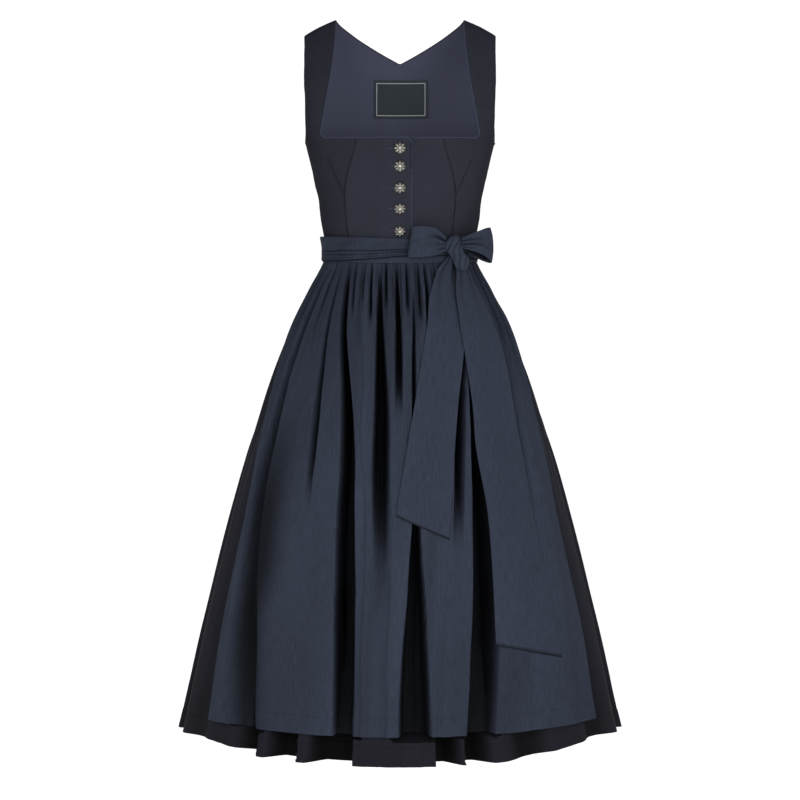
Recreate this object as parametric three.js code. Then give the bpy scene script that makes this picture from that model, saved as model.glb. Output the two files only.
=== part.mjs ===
// A dirndl: a fitted sleeveless bodice with a square front neckline and a pointed back one, a gathered
// skirt, and an apron whose wide ties go round the waist and end in a bow. It stands filled out and hollow,
// as it is when worn.
// Millimetres. +X is the wearer's left, -Y is the front and +Z is up. The origin lies between the shoulders.
import * as THREE from "three";

const { CatmullRomCurve3, MathUtils, Vector3 } = THREE;
const { clamp, degToRad, euclideanModulo, lerp, radToDeg, smoothstep } = MathUtils;

// Cloth thicknesses and the gaps between the sewn pieces
const BODICE_CLOTH = 2;
const LINING_CLOTH = 1;
const SKIRT_CLOTH = 1.2;
const APRON_CLOTH = 1.2;
const RIBBON_CLOTH = 1.2;
const SEAM_GAP = 0.3;

// The waist seam, which dips at the front
const WAIST_HEIGHT = -351;
const WAIST_DIP = 12;

// The figure that fills the bodice: half its width, how far it reaches to the front and to the back, and how
// round its section is: 1 for an ellipse, and less for one with flatter sides
const FIGURE = [
  { height: -380, halfWidth: 118, front: 90, back: 84, roundness: 1 },
  { height: -354, halfWidth: 118.5, front: 89, back: 83, roundness: 1 },
  { height: -330, halfWidth: 122.5, front: 94, back: 86, roundness: 1 },
  { height: -305, halfWidth: 127, front: 100.5, back: 90, roundness: 0.98 },
  { height: -275, halfWidth: 130.4, front: 107, back: 95, roundness: 0.95 },
  { height: -243, halfWidth: 137.6, front: 112.5, back: 100, roundness: 0.9 },
  { height: -211, halfWidth: 144.8, front: 113, back: 104, roundness: 0.85 },
  { height: -182, halfWidth: 152, front: 109, back: 106, roundness: 0.82 },
  { height: -140, halfWidth: 162, front: 100, back: 105, roundness: 0.8 },
  { height: -80, halfWidth: 171, front: 100, back: 105, roundness: 0.8 },
  { height: 20, halfWidth: 172, front: 100, back: 105, roundness: 0.8 },
];
const CHEST_TOP = -140;
// Above the chest both sides lean in to the shoulder line: the share of the depth left at each share of the
// rise
const SHOULDER_CURVE = [
  { rise: 0, front: 1, back: 1 },
  { rise: 0.3, front: 0.84, back: 0.95 },
  { rise: 0.55, front: 0.64, back: 0.82 },
  { rise: 0.75, front: 0.46, back: 0.62 },
  { rise: 0.9, front: 0.28, back: 0.38 },
  { rise: 0.97, front: 0.15, back: 0.2 },
  { rise: 1, front: 0, back: 0 },
];
const SHOULDER = { neckOut: 103, armOut: 153, neckHeight: 12.8, slope: 0.512 };

// The front neckline, the overlap at the front edge, and the seams
const NECKLINE_HEIGHT = -192;
const NECKLINE_RISE = 4.5;
const NECK_CORNER = { out: 115.5, radius: 10 };
const OVERLAP = 16.8;
const OVERLAP_CORNER = 9;
const OVERLAP_LIFT = 2.9;
const PRINCESS_SEAM = [
  { height: -370, out: 78.5 },
  { height: -318, out: 84 },
  { height: -272, out: 87 },
  { height: -235, out: 80 },
  { height: -205, out: 70.5 },
  { height: -190, out: 68 },
];
const STRAP_EDGE = [
  { height: -177.5, out: 125.5 },
  { height: -138, out: 118.8 },
  { height: -80, out: 109.7 },
  { height: -30, out: 104.4 },
  { height: 12.8, out: 103 },
];
const FRONT_ARMHOLE = [
  { angle: 90, height: -185 },
  { angle: 81, height: -181 },
  { angle: 74, height: -168 },
  { angle: 69.2, height: -150 },
  { angle: 64.8, height: -118 },
  { angle: 62.6, height: -80 },
  { angle: 61.9, height: -42 },
  { angle: 62.8, height: -12.8 },
];
const BACK_ARMHOLE = [
  { angle: 90, height: -185 },
  { angle: 97, height: -181 },
  { angle: 105, height: -168 },
  { angle: 110.5, height: -146 },
  { angle: 115, height: -112 },
  { angle: 117.5, height: -75 },
  { angle: 117.6, height: -40 },
  { angle: 117.2, height: -12.8 },
];
const BACK_NECK_POINT = -42;

// Ornamental metal buttons down the front edge
const BUTTON = { radius: 9, height: 6, petals: 8, scallop: 0.6 };
const BUTTON_HEIGHTS = [-208, -235.4, -267.7, -299.3, -333.4];

// The label sewn in the back of the neck
const LABEL = { width: 90, top: -67, bottom: -130, cloth: 0.8, gap: 1.2 };

// The skirt's rings, by the drop below the waist seam, without its folds
const SKIRT_RING = [
  { drop: 0, side: 118.5, front: 89, back: 83 },
  { drop: 20, side: 120, front: 91, back: 85 },
  { drop: 60, side: 139, front: 111, back: 108 },
  { drop: 120, side: 171, front: 137, back: 134 },
  { drop: 180, side: 196.5, front: 158, back: 157 },
  { drop: 240, side: 218, front: 177, back: 177 },
  { drop: 370, side: 258, front: 213, back: 214 },
  { drop: 560, side: 307, front: 255, back: 256 },
  { drop: 764, side: 354, front: 293, back: 290 },
];
const SKIRT_LENGTH = 763;
// How much shorter the hem hangs towards the sides and the back, by the angle from the centre front
const HEM_RISE = [
  { angle: 0, rise: 0 },
  { angle: 30, rise: 2 },
  { angle: 41, rise: 8 },
  { angle: 54, rise: 13 },
  { angle: 67, rise: 10.5 },
  { angle: 76, rise: 7 },
  { angle: 90, rise: 3 },
  { angle: 180, rise: 3 },
];
const APRON_TOP = 20.3;
const APRON_LENGTH = 720;

// Fold lines that fan out from the waist: the angle from the centre front at each drop. The outer two are
// the apron's edges.
const FOLD_LINES = [
  { drop: 0, rim: -84, far: -58, right: -41, near: -15, middle: -3, left: 42, leftRim: 84 },
  { drop: 120, rim: -75, far: -55, right: -29.5, near: -10, middle: -0.8, left: 36, leftRim: 77 },
  { drop: 240, rim: -66, far: -55.5, right: -21, near: -7.2, middle: 0.4, left: 31.5, leftRim: 67 },
  { drop: 410, rim: -61.5, far: -54, right: -17, near: -6, middle: 3.2, left: 28, leftRim: 61.5 },
  { drop: 580, rim: -61, far: -47, right: -15, near: -5.6, middle: 4.2, left: 23.6, leftRim: 60.5 },
  { drop: 764, rim: -56, far: -38.5, right: -13.1, near: -5.2, middle: 3.4, left: 19.2, leftRim: 56.5 },
];

// The apron's deep folds. Each lies on a line that leaves the waist at an angle, is as wide as given at its
// top and hem, and runs between two drops.
const APRON_FOLDS = [
  { at: -58, topWidth: 12, hemWidth: 52, depth: 20, hemDepth: 20, start: 20, end: 900 },
  { at: -46.6, topWidth: 7, hemWidth: 14, depth: 16, hemDepth: 0, start: 20, end: 330 },
  { at: -41, topWidth: 8, hemWidth: 32, depth: 50, hemDepth: 36, start: 20, end: 900 },
  { at: -27, topWidth: 6, hemWidth: 12, depth: 7, hemDepth: 0, start: 20, end: 190 },
  { at: -15, topWidth: 8, hemWidth: 26, depth: 38, hemDepth: 0, start: 20, end: 600 },
  { at: -3, topWidth: 8, hemWidth: 46, depth: 40, hemDepth: 24, start: 20, end: 900 },
  { at: 6, topWidth: 6, hemWidth: 12, depth: 14, hemDepth: 0, start: 20, end: 330 },
  { at: 19, topWidth: 6, hemWidth: 10, depth: 9, hemDepth: 0, start: 20, end: 200 },
  { at: 27, topWidth: 8, hemWidth: 24, depth: 22, hemDepth: 0, start: 150, end: 470 },
  { at: 42, topWidth: 10, hemWidth: 58, depth: 48, hemDepth: 38, start: 20, end: 900 },
  { at: 63, topWidth: 10, hemWidth: 34, depth: 12, hemDepth: 0, start: 20, end: 430 },
];

// The skirt's folds at the front hem, by the angle at the hem. Each has a steep side and a long one.
const SKIRT_FRONT_FOLDS = [
  { at: -62, toRight: 60, toLeft: 40, depth: 8 },
  { at: -38.6, toRight: 50, toLeft: 12, depth: 36 },
  { at: -27, toRight: 58, toLeft: 12, depth: 36 },
  { at: -12.8, toRight: 66, toLeft: 12, depth: 40 },
  { at: 9.8, toRight: 12, toLeft: 36, depth: 38 },
  { at: 17.2, toRight: 12, toLeft: 40, depth: 38 },
  { at: 34, toRight: 50, toLeft: 46, depth: 16 },
  { at: 60, toRight: 50, toLeft: 60, depth: 14 },
];
// The folds of the back, which run on in the same way and grow from the smooth sides between two angles
const SKIRT_BACK_FOLDS = { first: 84, last: 276, count: 15, width: 40, depth: 34, from: 68, full: 92 };
const APRON_GATHERS = { from: -84, to: 84, count: 26 };
const SKIRT_GATHERS = { from: 84, to: 276, count: 30 };
// How deep the small gathers are below the waist
const GATHER_DEPTH = [
  { drop: 0, depth: 0.8 },
  { drop: 20, depth: 1.2 },
  { drop: 50, depth: 3.6 },
  { drop: 100, depth: 4.4 },
  { drop: 170, depth: 3 },
  { drop: 260, depth: 1 },
  { drop: 340, depth: 0 },
  { drop: 900, depth: 0 },
];
// How far the apron stands out from the skirt's rings
const APRON_LIFT = [
  { drop: 0, lift: 3.2 },
  { drop: 20, lift: 3.6 },
  { drop: 60, lift: 7 },
  { drop: 900, lift: 7 },
];

// The apron's waistband, and the tie wound over it, by the drop from the waist seam
const BAND = { top: -17.5, bottom: 20, halfAngle: 84, out: 5.1, cloth: 1.1 };
const TIE_CREASES = [
  { drop: -20, out: 6.8 },
  { drop: -9, out: 7.3 },
  { drop: 4, out: 7.8 },
  { drop: 9, out: 6.8 },
  { drop: 17, out: 7.4 },
];
// Round the back the tie lies on the bodice itself
const TIE_BACK = { from: 86, to: 98, closer: 4 };

// The bow. A loop's rows follow the ribbon out along its front, round the end and back along the skirt side.
const KNOT = { x: 82.5, y: -85.4, z: -356.5, halfWidth: 11.5, halfDepth: 8.5, halfHeight: 16, tilt: 14 };
const LOOP_TOWARDS_FRONT = [
  { x: 70.2, y: -91.4, z: -353, halfHeight: 8 },
  { x: 54, y: -103.4, z: -350, halfHeight: 17 },
  { x: 34, y: -110.9, z: -349, halfHeight: 24 },
  { x: 17, y: -109.9, z: -351, halfHeight: 25 },
  { x: 11.5, y: -104.9, z: -351, halfHeight: 24.5 },
  { x: 17, y: -100.4, z: -351, halfHeight: 24 },
  { x: 35, y: -98.4, z: -350, halfHeight: 21 },
  { x: 54, y: -91.9, z: -351, halfHeight: 15 },
  { x: 70.4, y: -85.9, z: -353, halfHeight: 8 },
];
const LOOP_TOWARDS_SIDE = [
  { x: 94.9, y: -87.9, z: -351, halfHeight: 8 },
  { x: 113, y: -89.4, z: -349, halfHeight: 13 },
  { x: 131, y: -78.4, z: -351, halfHeight: 21 },
  { x: 141.5, y: -64.4, z: -352, halfHeight: 27 },
  { x: 145, y: -56.4, z: -352, halfHeight: 27.5 },
  { x: 140, y: -53.4, z: -352, halfHeight: 27 },
  { x: 127, y: -61.4, z: -351, halfHeight: 20 },
  { x: 112, y: -72.4, z: -350, halfHeight: 13 },
  { x: 93.9, y: -81.4, z: -351, halfHeight: 8 },
];
// The tails lie on the apron: their two edges, by the angle from the centre front, and how far out they lie
const LONG_TAIL = [
  { drop: 9, fromRight: 41, toLeft: 45.5, out: 11.4 },
  { drop: 17, fromRight: 41.5, toLeft: 49, out: 12.6 },
  { drop: 32, fromRight: 40, toLeft: 53, out: 13.4 },
  { drop: 80, fromRight: 35.6, toLeft: 55, out: 12.4 },
  { drop: 159, fromRight: 31, toLeft: 54, out: 11.4 },
  { drop: 240, fromRight: 28.8, toLeft: 49.6, out: 9.8 },
  { drop: 305, fromRight: 27.6, toLeft: 48, out: 9 },
  { drop: 404, fromRight: 28.4, toLeft: 46.6, out: 9 },
  { drop: 620, fromRight: 25.5, toLeft: 47.2, out: 9 },
];
const LONG_TAIL_ENDS = { right: 594, left: 621 };
const SHORT_TAIL = [
  { drop: 9, fromRight: 36, toLeft: 40.6, out: 11.4 },
  { drop: 17, fromRight: 33, toLeft: 40.5, out: 11.6 },
  { drop: 32, fromRight: 26, toLeft: 39, out: 10.6 },
  { drop: 75, fromRight: 14.7, toLeft: 34.5, out: 9 },
  { drop: 129, fromRight: 10.5, toLeft: 30.4, out: 9 },
  { drop: 237, fromRight: 5.7, toLeft: 23, out: 9 },
  { drop: 335, fromRight: 1.2, toLeft: 18.2, out: 9 },
  { drop: 439, fromRight: -2.4, toLeft: 14.9, out: 9 },
];
const SHORT_TAIL_ENDS = { right: 404, left: 439 };
const PIPING_RADIUS = 1.1;

// A smooth curve through one column of a table, flat beyond its ends
function curveThrough(rows, key, column) {
  const xs = rows.map((row) => row[key]);
  const ys = rows.map((row) => row[column]);
  const last = xs.length - 1;
  const slope = (i) => {
    const [a, b] = [Math.max(i - 1, 0), Math.min(i + 1, last)];
    return (ys[b] - ys[a]) / (xs[b] - xs[a]);
  };
  return (x) => {
    if (x <= xs[0]) return ys[0];
    if (x >= xs[last]) return ys[last];
    const i = xs.findIndex((next) => x < next) - 1;
    const span = xs[i + 1] - xs[i];
    const t = (x - xs[i]) / span;
    const [t2, t3] = [t * t, t * t * t];
    return (
      (2 * t3 - 3 * t2 + 1) * ys[i] +
      (t3 - 2 * t2 + t) * span * slope(i) +
      (3 * t2 - 2 * t3) * ys[i + 1] +
      (t3 - t2) * span * slope(i + 1)
    );
  };
}

// A straight-line reading of one column, for values that must not overshoot
function stepsThrough(rows, key, column) {
  return (x) => {
    const i = clamp(rows.findIndex((row) => x < row[key]) - 1, 0, rows.length - 2);
    const [a, b] = x >= rows.at(-1)[key] ? [rows.at(-2), rows.at(-1)] : [rows[i], rows[i + 1]];
    return lerp(a[column], b[column], clamp((x - a[key]) / (b[key] - a[key]), 0, 1));
  };
}

const range = (count) => Array.from({ length: count }, (_, i) => i);
const shares = (count) => range(count + 1).map((i) => i / count);
// A repeatable value from 0 to 1 that makes one fold unlike the next
const uneven = (i) => {
  const wave = Math.sin(i * 12.9898 + 4.1) * 43758.5453;
  return wave - Math.floor(wave);
};

// The bodice's skin
const figure = {
  halfWidth: curveThrough(FIGURE, "height", "halfWidth"),
  front: curveThrough(FIGURE, "height", "front"),
  back: curveThrough(FIGURE, "height", "back"),
  roundness: curveThrough(FIGURE, "height", "roundness"),
  frontLean: curveThrough(SHOULDER_CURVE, "rise", "front"),
  backLean: curveThrough(SHOULDER_CURVE, "rise", "back"),
};
const princessOut = curveThrough(PRINCESS_SEAM, "height", "out");
const shoulderHeight = (x) => SHOULDER.neckHeight - SHOULDER.slope * (Math.abs(x) - SHOULDER.neckOut);
const waistHeight = (angle) => WAIST_HEIGHT - WAIST_DIP * ((1 + Math.cos(degToRad(angle))) / 2) ** 2;
const necklineHeight = (x) => NECKLINE_HEIGHT + NECKLINE_RISE * (x / NECK_CORNER.out) ** 2;

function skinPoint(angle, height) {
  const turn = degToRad(angle);
  const x = figure.halfWidth(height) * Math.sin(turn);
  const isFront = Math.cos(turn) > 0;
  const rise = clamp((height - CHEST_TOP) / (shoulderHeight(x) - CHEST_TOP), 0, 1);
  const reach = isFront ? figure.front(height) : figure.back(height);
  const depth = reach * (isFront ? figure.frontLean(rise) : figure.backLean(rise));
  const across = Math.sign(Math.cos(turn)) * Math.abs(Math.cos(turn)) ** figure.roundness(height);
  return new Vector3(x, -depth * across, height);
}

// A place on the skin and the way it faces. At the shoulder line the two sides meet end to end.
function skin(angle, height) {
  const point = skinPoint(angle, height);
  if (height > shoulderHeight(point.x) - 2) {
    const towards = Math.cos(degToRad(angle)) > 0 ? -1 : 1;
    const seam = new Vector3(point.x, (towards * SEAM_GAP) / 2, shoulderHeight(point.x));
    return { point: seam, normal: new Vector3(SHOULDER.slope * Math.sign(point.x), 0, 1).normalize() };
  }
  const around = skinPoint(angle + 0.2, height).sub(skinPoint(angle - 0.2, height));
  const up = skinPoint(angle, height + 0.4).sub(skinPoint(angle, height - 0.4));
  return { point, normal: around.cross(up).normalize() };
}

const angleAt = (x, height) => radToDeg(Math.asin(clamp(x / figure.halfWidth(height), -1, 1)));
const movedOut = ({ point, normal }, out) => ({ point: point.clone().addScaledVector(normal, out), normal });

// Points spread evenly along a path of {angle, height} stations
function along(path, count) {
  const reach = [0];
  path.slice(1).forEach((station, i) => {
    const across = degToRad(station.angle - path[i].angle) * figure.halfWidth(station.height);
    reach.push(reach[i] + Math.hypot(across, station.height - path[i].height));
  });
  return shares(count).map((share) => {
    const target = share * reach.at(-1);
    const i = clamp(reach.findIndex((r) => r >= target - 1e-9) - 1, 0, path.length - 2);
    const t = (target - reach[i]) / (reach[i + 1] - reach[i]);
    return {
      angle: lerp(path[i].angle, path[i + 1].angle, t),
      height: lerp(path[i].height, path[i + 1].height, t),
    };
  });
}

// A closed cloth wall: a grid of places moved in to the wall's outer side, the same grid moved in by the
// cloth's thickness as well, and the rims between
function clothWall(grid, thickness, { closed = false, inset = 0 } = {}) {
  const [rows, columns] = [grid.length, grid[0].length];
  const positions = [];
  for (const depth of [inset, inset + thickness]) {
    for (const place of grid.flat()) {
      positions.push(...movedOut(place, -depth).point.toArray());
    }
  }
  const at = (layer, row, column) => layer * rows * columns + row * columns + (column % columns);
  const indices = [];
  const quad = (a, b, c, d) => indices.push(a, b, c, a, c, d);
  const spans = closed ? columns : columns - 1;
  for (let row = 0; row < rows - 1; row++) {
    for (let column = 0; column < spans; column++) {
      const corners = [
        [row, column],
        [row, column + 1],
        [row + 1, column + 1],
        [row + 1, column],
      ];
      const [a, b, c, d] = corners.map(([r, s]) => grid[r][s % columns].point);
      if (a.distanceTo(c) > b.distanceTo(d)) corners.push(corners.shift());
      quad(...corners.map(([r, s]) => at(0, r, s)));
      const [first, ...others] = corners.map(([r, s]) => at(1, r, s));
      quad(first, ...others.reverse());
    }
  }
  for (let column = 0; column < spans; column++) {
    quad(at(0, 0, column), at(1, 0, column), at(1, 0, column + 1), at(0, 0, column + 1));
    const end = rows - 1;
    quad(at(0, end, column + 1), at(1, end, column + 1), at(1, end, column), at(0, end, column));
  }
  for (let row = 0; row < rows - 1 && !closed; row++) {
    quad(at(0, row + 1, 0), at(1, row + 1, 0), at(1, row, 0), at(0, row, 0));
    const end = columns - 1;
    quad(at(1, row, end), at(1, row + 1, end), at(0, row + 1, end), at(0, row, end));
  }
  const [p, q, r] = [grid[0][0], grid[0][1], grid[1][0]].map((place) => place.point);
  const facing = q.clone().sub(p).cross(r.clone().sub(p)).dot(grid[0][0].normal);
  if (facing < 0) indices.reverse();
  const geometry = new THREE.BufferGeometry();
  geometry.setAttribute("position", new THREE.Float32BufferAttribute(positions, 3));
  geometry.setIndex(indices);
  return geometry;
}

// Places with normals, from a grid of points alone. A sign of -1 turns the normals round.
function withNormals(points, closed = false, sign = 1) {
  const columns = points[0].length;
  return points.map((row, r) =>
    row.map((point, c) => {
      const pick = (i) => (closed ? row[(i + columns) % columns] : row[clamp(i, 0, columns - 1)]);
      const across = pick(c + 1).clone().sub(pick(c - 1));
      const above = points[Math.max(r - 1, 0)][c];
      const below = points[Math.min(r + 1, points.length - 1)][c];
      const normal = across.cross(above.clone().sub(below)).normalize();
      return { point, normal: normal.multiplyScalar(sign) };
    }),
  );
}

// The right front laps over the left one, so it stands out near the front edge
const overlapLift = (x) => OVERLAP_LIFT * smoothstep(x, -48, -20);

// A front panel's edge at the waist, and its top edge, which turns down at the front edge
const waistEdge = (x) => waistHeight(angleAt(x, WAIST_HEIGHT - WAIST_DIP)) + SEAM_GAP / 2;
function necklineEdge(out, radius) {
  const past = Math.max(radius - OVERLAP - out, 0);
  return necklineHeight(out) - radius + Math.sqrt(Math.max(radius ** 2 - past ** 2, 0));
}

// A station of the seam between the two panels of a front
const SEAM_SPANS = 8;
function princessStation(share) {
  const { out } = PRINCESS_SEAM[0];
  const height = lerp(waistEdge(out), necklineHeight(PRINCESS_SEAM.at(-1).out), share);
  return { out: princessOut(height), height };
}

// A front panel from the princess seam to the front edge. side is -1 for the wearer's right and 1 for the
// left.
const FRONT_COLUMNS = [0, 0.22, 0.44, 0.62, 0.78, 0.88, 0.94, 0.98, 1];
function frontCentrePanel(side) {
  const isUpper = side < 0;
  const radius = isUpper ? OVERLAP_CORNER : 3;
  const rows = shares(SEAM_SPANS).map((share) => {
    const seam = princessStation(share);
    const between = (out) => lerp(waistEdge(out), necklineEdge(out, radius), share);
    return FRONT_COLUMNS.map((column) => {
      const out = lerp(seam.out - SEAM_GAP / 2, -OVERLAP, column);
      const height = seam.height + between(out) - between(seam.out - SEAM_GAP / 2);
      const x = side * out;
      return movedOut(skin(angleAt(x, height), height), isUpper ? overlapLift(x) : 0);
    });
  });
  return clothWall(rows, BODICE_CLOTH);
}

// The neckline's corner, from the level edge up to the strap
const neckCorner = (turns) =>
  turns.map((turn) => ({
    out: NECK_CORNER.out + NECK_CORNER.radius * Math.sin(degToRad(turn)),
    height: necklineHeight(NECK_CORNER.out) + NECK_CORNER.radius * (1 - Math.cos(degToRad(turn))),
  }));
// The level part of the neckline that belongs to a side front
const sideNeckline = (stations) =>
  stations.map((share) => {
    const out = lerp(PRINCESS_SEAM.at(-1).out, NECK_CORNER.out, share);
    return { out, height: necklineHeight(out) };
  });
const frontPlace = ({ out, height }) => ({ angle: angleAt(out, height), height });
const STRAP_SPANS = 8;
const strapEdge = () => along(STRAP_EDGE.map(frontPlace), STRAP_SPANS);

// A side front: its rows fan from the princess seam, the neckline and the strap's inner edge to the side
// seam and the armhole
function sideFrontPanel(side) {
  const seam = shares(SEAM_SPANS).map((share) => {
    const { out, height } = princessStation(share);
    return { out: out + SEAM_GAP / 2, height };
  });
  const neckline = sideNeckline([0.34, 0.67, 1]);
  const inner = [...[...seam, ...neckline, ...neckCorner([30, 60])].map(frontPlace), ...strapEdge()];
  const sideSeam = shares(SEAM_SPANS).map((share) => {
    return { angle: 90, height: lerp(waistHeight(90) + SEAM_GAP / 2, -226, share) };
  });
  const armpit = [-216, -206, -196].map((height) => ({ angle: 90, height }));
  const outer = [...sideSeam, ...armpit, ...along(FRONT_ARMHOLE, STRAP_SPANS + 2)];
  const seamTurn = 0.08;
  const rows = inner.map((start, i) => {
    const end = { ...outer[i], angle: Math.min(outer[i].angle, 90 - seamTurn) };
    return shares(6).map((share) => {
      const angle = lerp(start.angle, end.angle, share);
      const height = i === 0 ? waistHeight(angle) + SEAM_GAP / 2 : lerp(start.height, end.height, share);
      return skin(side * angle, height);
    });
  });
  return clothWall(rows, BODICE_CLOTH);
}

// The back in one grid, blended between its four edges: the waist, the two sides with their armholes, and
// the top with its point. Its places run from the wearer's left side round to the right.
const BACK_SIDE_ANGLE = 90.08;
const BACK_SPANS = { columns: 18, rows: 11 };
function backGrid() {
  const { columns, rows } = BACK_SPANS;
  const shoulderOut = BACK_ARMHOLE.at(-1);
  const neck = { angle: 180 - angleAt(SHOULDER.neckOut, SHOULDER.neckHeight), height: SHOULDER.neckHeight };
  const neckPoint = { angle: 180, height: BACK_NECK_POINT };
  const halfTop = [...along([shoulderOut, neck], 2), ...along([neck, neckPoint], columns / 2 - 2).slice(1)];
  const mirrored = ({ angle, height }) => ({ angle: 360 - angle, height });
  const top = [...halfTop, ...halfTop.slice(0, -1).reverse().map(mirrored)];
  const waist = shares(columns).map((share) => {
    const angle = lerp(BACK_SIDE_ANGLE, 360 - BACK_SIDE_ANGLE, share);
    return { angle, height: waistHeight(angle) + SEAM_GAP / 2 };
  });
  const sideSeam = [waist[0], { angle: BACK_SIDE_ANGLE, height: BACK_ARMHOLE[0].height }];
  const left = along([...sideSeam, ...BACK_ARMHOLE.slice(1)], rows);
  return left.map((edge, r) => {
    const v = r / rows;
    return top.map((above, c) => {
      const u = c / columns;
      const blend = (key, mirror) => {
        const sides = lerp(edge[key], mirror(edge[key]), u);
        const corner = lerp(waist[0][key], shoulderOut[key], v);
        const corners = lerp(corner, mirror(corner), u);
        return lerp(waist[c][key], above[key], v) + sides - corners;
      };
      const angle = blend("angle", (value) => 360 - value);
      const height = blend("height", (value) => value);
      return skin(angle, height);
    });
  });
}

function neckLabel() {
  const rows = shares(4).map((v) => {
    const height = lerp(LABEL.bottom, LABEL.top, v);
    return shares(6).map((u) => {
      const x = lerp(LABEL.width / 2, -LABEL.width / 2, u);
      return skin(180 - angleAt(x, height), height);
    });
  });
  return clothWall(rows, LABEL.cloth, { inset: BODICE_CLOTH + SEAM_GAP + LINING_CLOTH + LABEL.gap });
}

// A closed cord through frames {point, normal}. out moves it sideways, past the edge that it follows.
function cord(frames, radius, out, sides = 6) {
  const positions = [];
  frames.forEach(({ point, normal }, i) => {
    const before = point.clone().sub(frames[Math.max(i - 1, 0)].point).normalize();
    const after = frames[Math.min(i + 1, frames.length - 1)].point.clone().sub(point).normalize();
    const sideways = normal.clone().cross(before.add(after)).normalize();
    for (const corner of range(sides)) {
      const turn = (corner * 2 * Math.PI) / sides;
      const place = point.clone().addScaledVector(sideways, out + radius * Math.cos(turn));
      positions.push(...place.addScaledVector(normal, radius * Math.sin(turn)).toArray());
    }
  });
  const indices = [];
  for (let ring = 0; ring < frames.length - 1; ring++) {
    for (const corner of range(sides)) {
      const [a, b] = [ring * sides + corner, ring * sides + ((corner + 1) % sides)];
      indices.push(a, b, b + sides, a, b + sides, a + sides);
    }
  }
  const lastRing = (frames.length - 1) * sides;
  for (let corner = 1; corner < sides - 1; corner++) {
    indices.push(0, corner + 1, corner, lastRing, lastRing + corner, lastRing + corner + 1);
  }
  const geometry = new THREE.BufferGeometry();
  geometry.setAttribute("position", new THREE.Float32BufferAttribute(positions, 3));
  geometry.setIndex(indices);
  return geometry;
}

// The frames of an edge of the front, in the middle of the cloth
const edgeFrames = (places, side) =>
  places.map(({ angle, height }) => {
    const x = figure.halfWidth(height) * Math.sin(degToRad(side * angle));
    return movedOut(skin(side * angle, height), (side < 0 ? overlapLift(x) : 0) - BODICE_CLOTH / 2);
  });

// From the shoulder down the strap, round the neckline's corner and along to the front edge. The right
// front's piping turns down there and goes on to the waist.
function neckPiping(side) {
  const strap = strapEdge().reverse();
  strap[0] = { ...strap[0], height: strap[0].height - 3 };
  const sideOfNeck = [...neckCorner([60, 30, 0]), ...sideNeckline([0.67, 0.34])];
  const seamOut = PRINCESS_SEAM.at(-1).out - SEAM_GAP / 2;
  const columns = side < 0 ? FRONT_COLUMNS : FRONT_COLUMNS.slice(0, 3);
  const centreOfNeck = columns.map((column) => {
    const out = lerp(seamOut, -OVERLAP, column);
    return { out, height: necklineEdge(out, OVERLAP_CORNER) };
  });
  const frontEdge = side < 0 ? [-225, -262, -300, -341] : [];
  const end = side < 0 ? [] : [{ out: 21, height: necklineHeight(21) }];
  const down = frontEdge.map((height) => ({ out: -OVERLAP, height }));
  const path = [...strap, ...[...sideOfNeck, ...centreOfNeck, ...end, ...down].map(frontPlace)];
  return cord(edgeFrames(path, side), PIPING_RADIUS, -side * (PIPING_RADIUS + SEAM_GAP + 0.1));
}

// A domed button with a scalloped rim round a raised boss. Its axis is +Y.
function button() {
  const { radius, height, petals, scallop } = BUTTON;
  const profile = [
    [0, 0],
    [0.8, 0],
    [1, 0.3],
    [0.66, 0.86],
    [0.44, 0.76],
    [0.24, 1],
    [0, 1.06],
  ].map(([out, up]) => new THREE.Vector2(out * radius, up * height));
  const geometry = new THREE.LatheGeometry(profile, petals * 2);
  const position = geometry.getAttribute("position");
  for (const i of range(position.count)) {
    const [x, y, z] = [position.getX(i), position.getY(i), position.getZ(i)];
    const isRim = Math.hypot(x, z) > radius * 0.9;
    const petal = Math.cos(Math.atan2(z, x) * petals);
    const scale = isRim ? 1 - ((1 - petal) * scallop) / radius : 1;
    position.setXYZ(i, x * scale, y, z * scale);
  }
  return geometry;
}

// The skirt's rings
const ring = {
  side: curveThrough(SKIRT_RING, "drop", "side"),
  front: curveThrough(SKIRT_RING, "drop", "front"),
  back: curveThrough(SKIRT_RING, "drop", "back"),
};
const gatherDepth = curveThrough(GATHER_DEPTH, "drop", "depth");
const apronLift = stepsThrough(APRON_LIFT, "drop", "lift");

// A place on the skirt's rings, moved out
function ringPoint(angle, drop, out = 0) {
  const turn = degToRad(angle);
  const [sin, cos] = [Math.sin(turn), Math.cos(turn)];
  const side = ring.side(drop);
  const reach = cos > 0 ? ring.front(drop) : ring.back(drop);
  const outward = new Vector3(sin / side, -cos / reach, 0).normalize();
  const point = new Vector3(side * sin, -reach * cos, waistHeight(angle) - drop);
  return point.addScaledVector(outward, out);
}

// Millimetres of cloth for each degree round the ring
function millimetresPerDegree(angle, drop) {
  const turn = degToRad(angle);
  const reach = Math.cos(turn) > 0 ? ring.front(drop) : ring.back(drop);
  return degToRad(1) * Math.hypot(ring.side(drop) * Math.cos(turn), reach * Math.sin(turn));
}

// The angle that a fold line has at a drop, when it leaves the waist at a given angle
const lineNames = Object.keys(FOLD_LINES[0]).slice(1);
const lineAngles = lineNames.map((name) => curveThrough(FOLD_LINES, "drop", name));
function flow(waistAngle, drop) {
  const last = lineAngles.length - 1;
  const atWaist = [...lineAngles.map((line) => line(0)), 360 + lineAngles[0](0)];
  const atDrop = [...lineAngles.map((line) => line(drop)), 360 + lineAngles[0](drop)];
  const next = atWaist.findIndex((angle) => waistAngle < angle);
  const i = next < 0 ? last : Math.max(next - 1, 0);
  const share = (waistAngle - atWaist[i]) / (atWaist[i + 1] - atWaist[i]);
  return lerp(atDrop[i], atDrop[i + 1], share);
}

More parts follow.
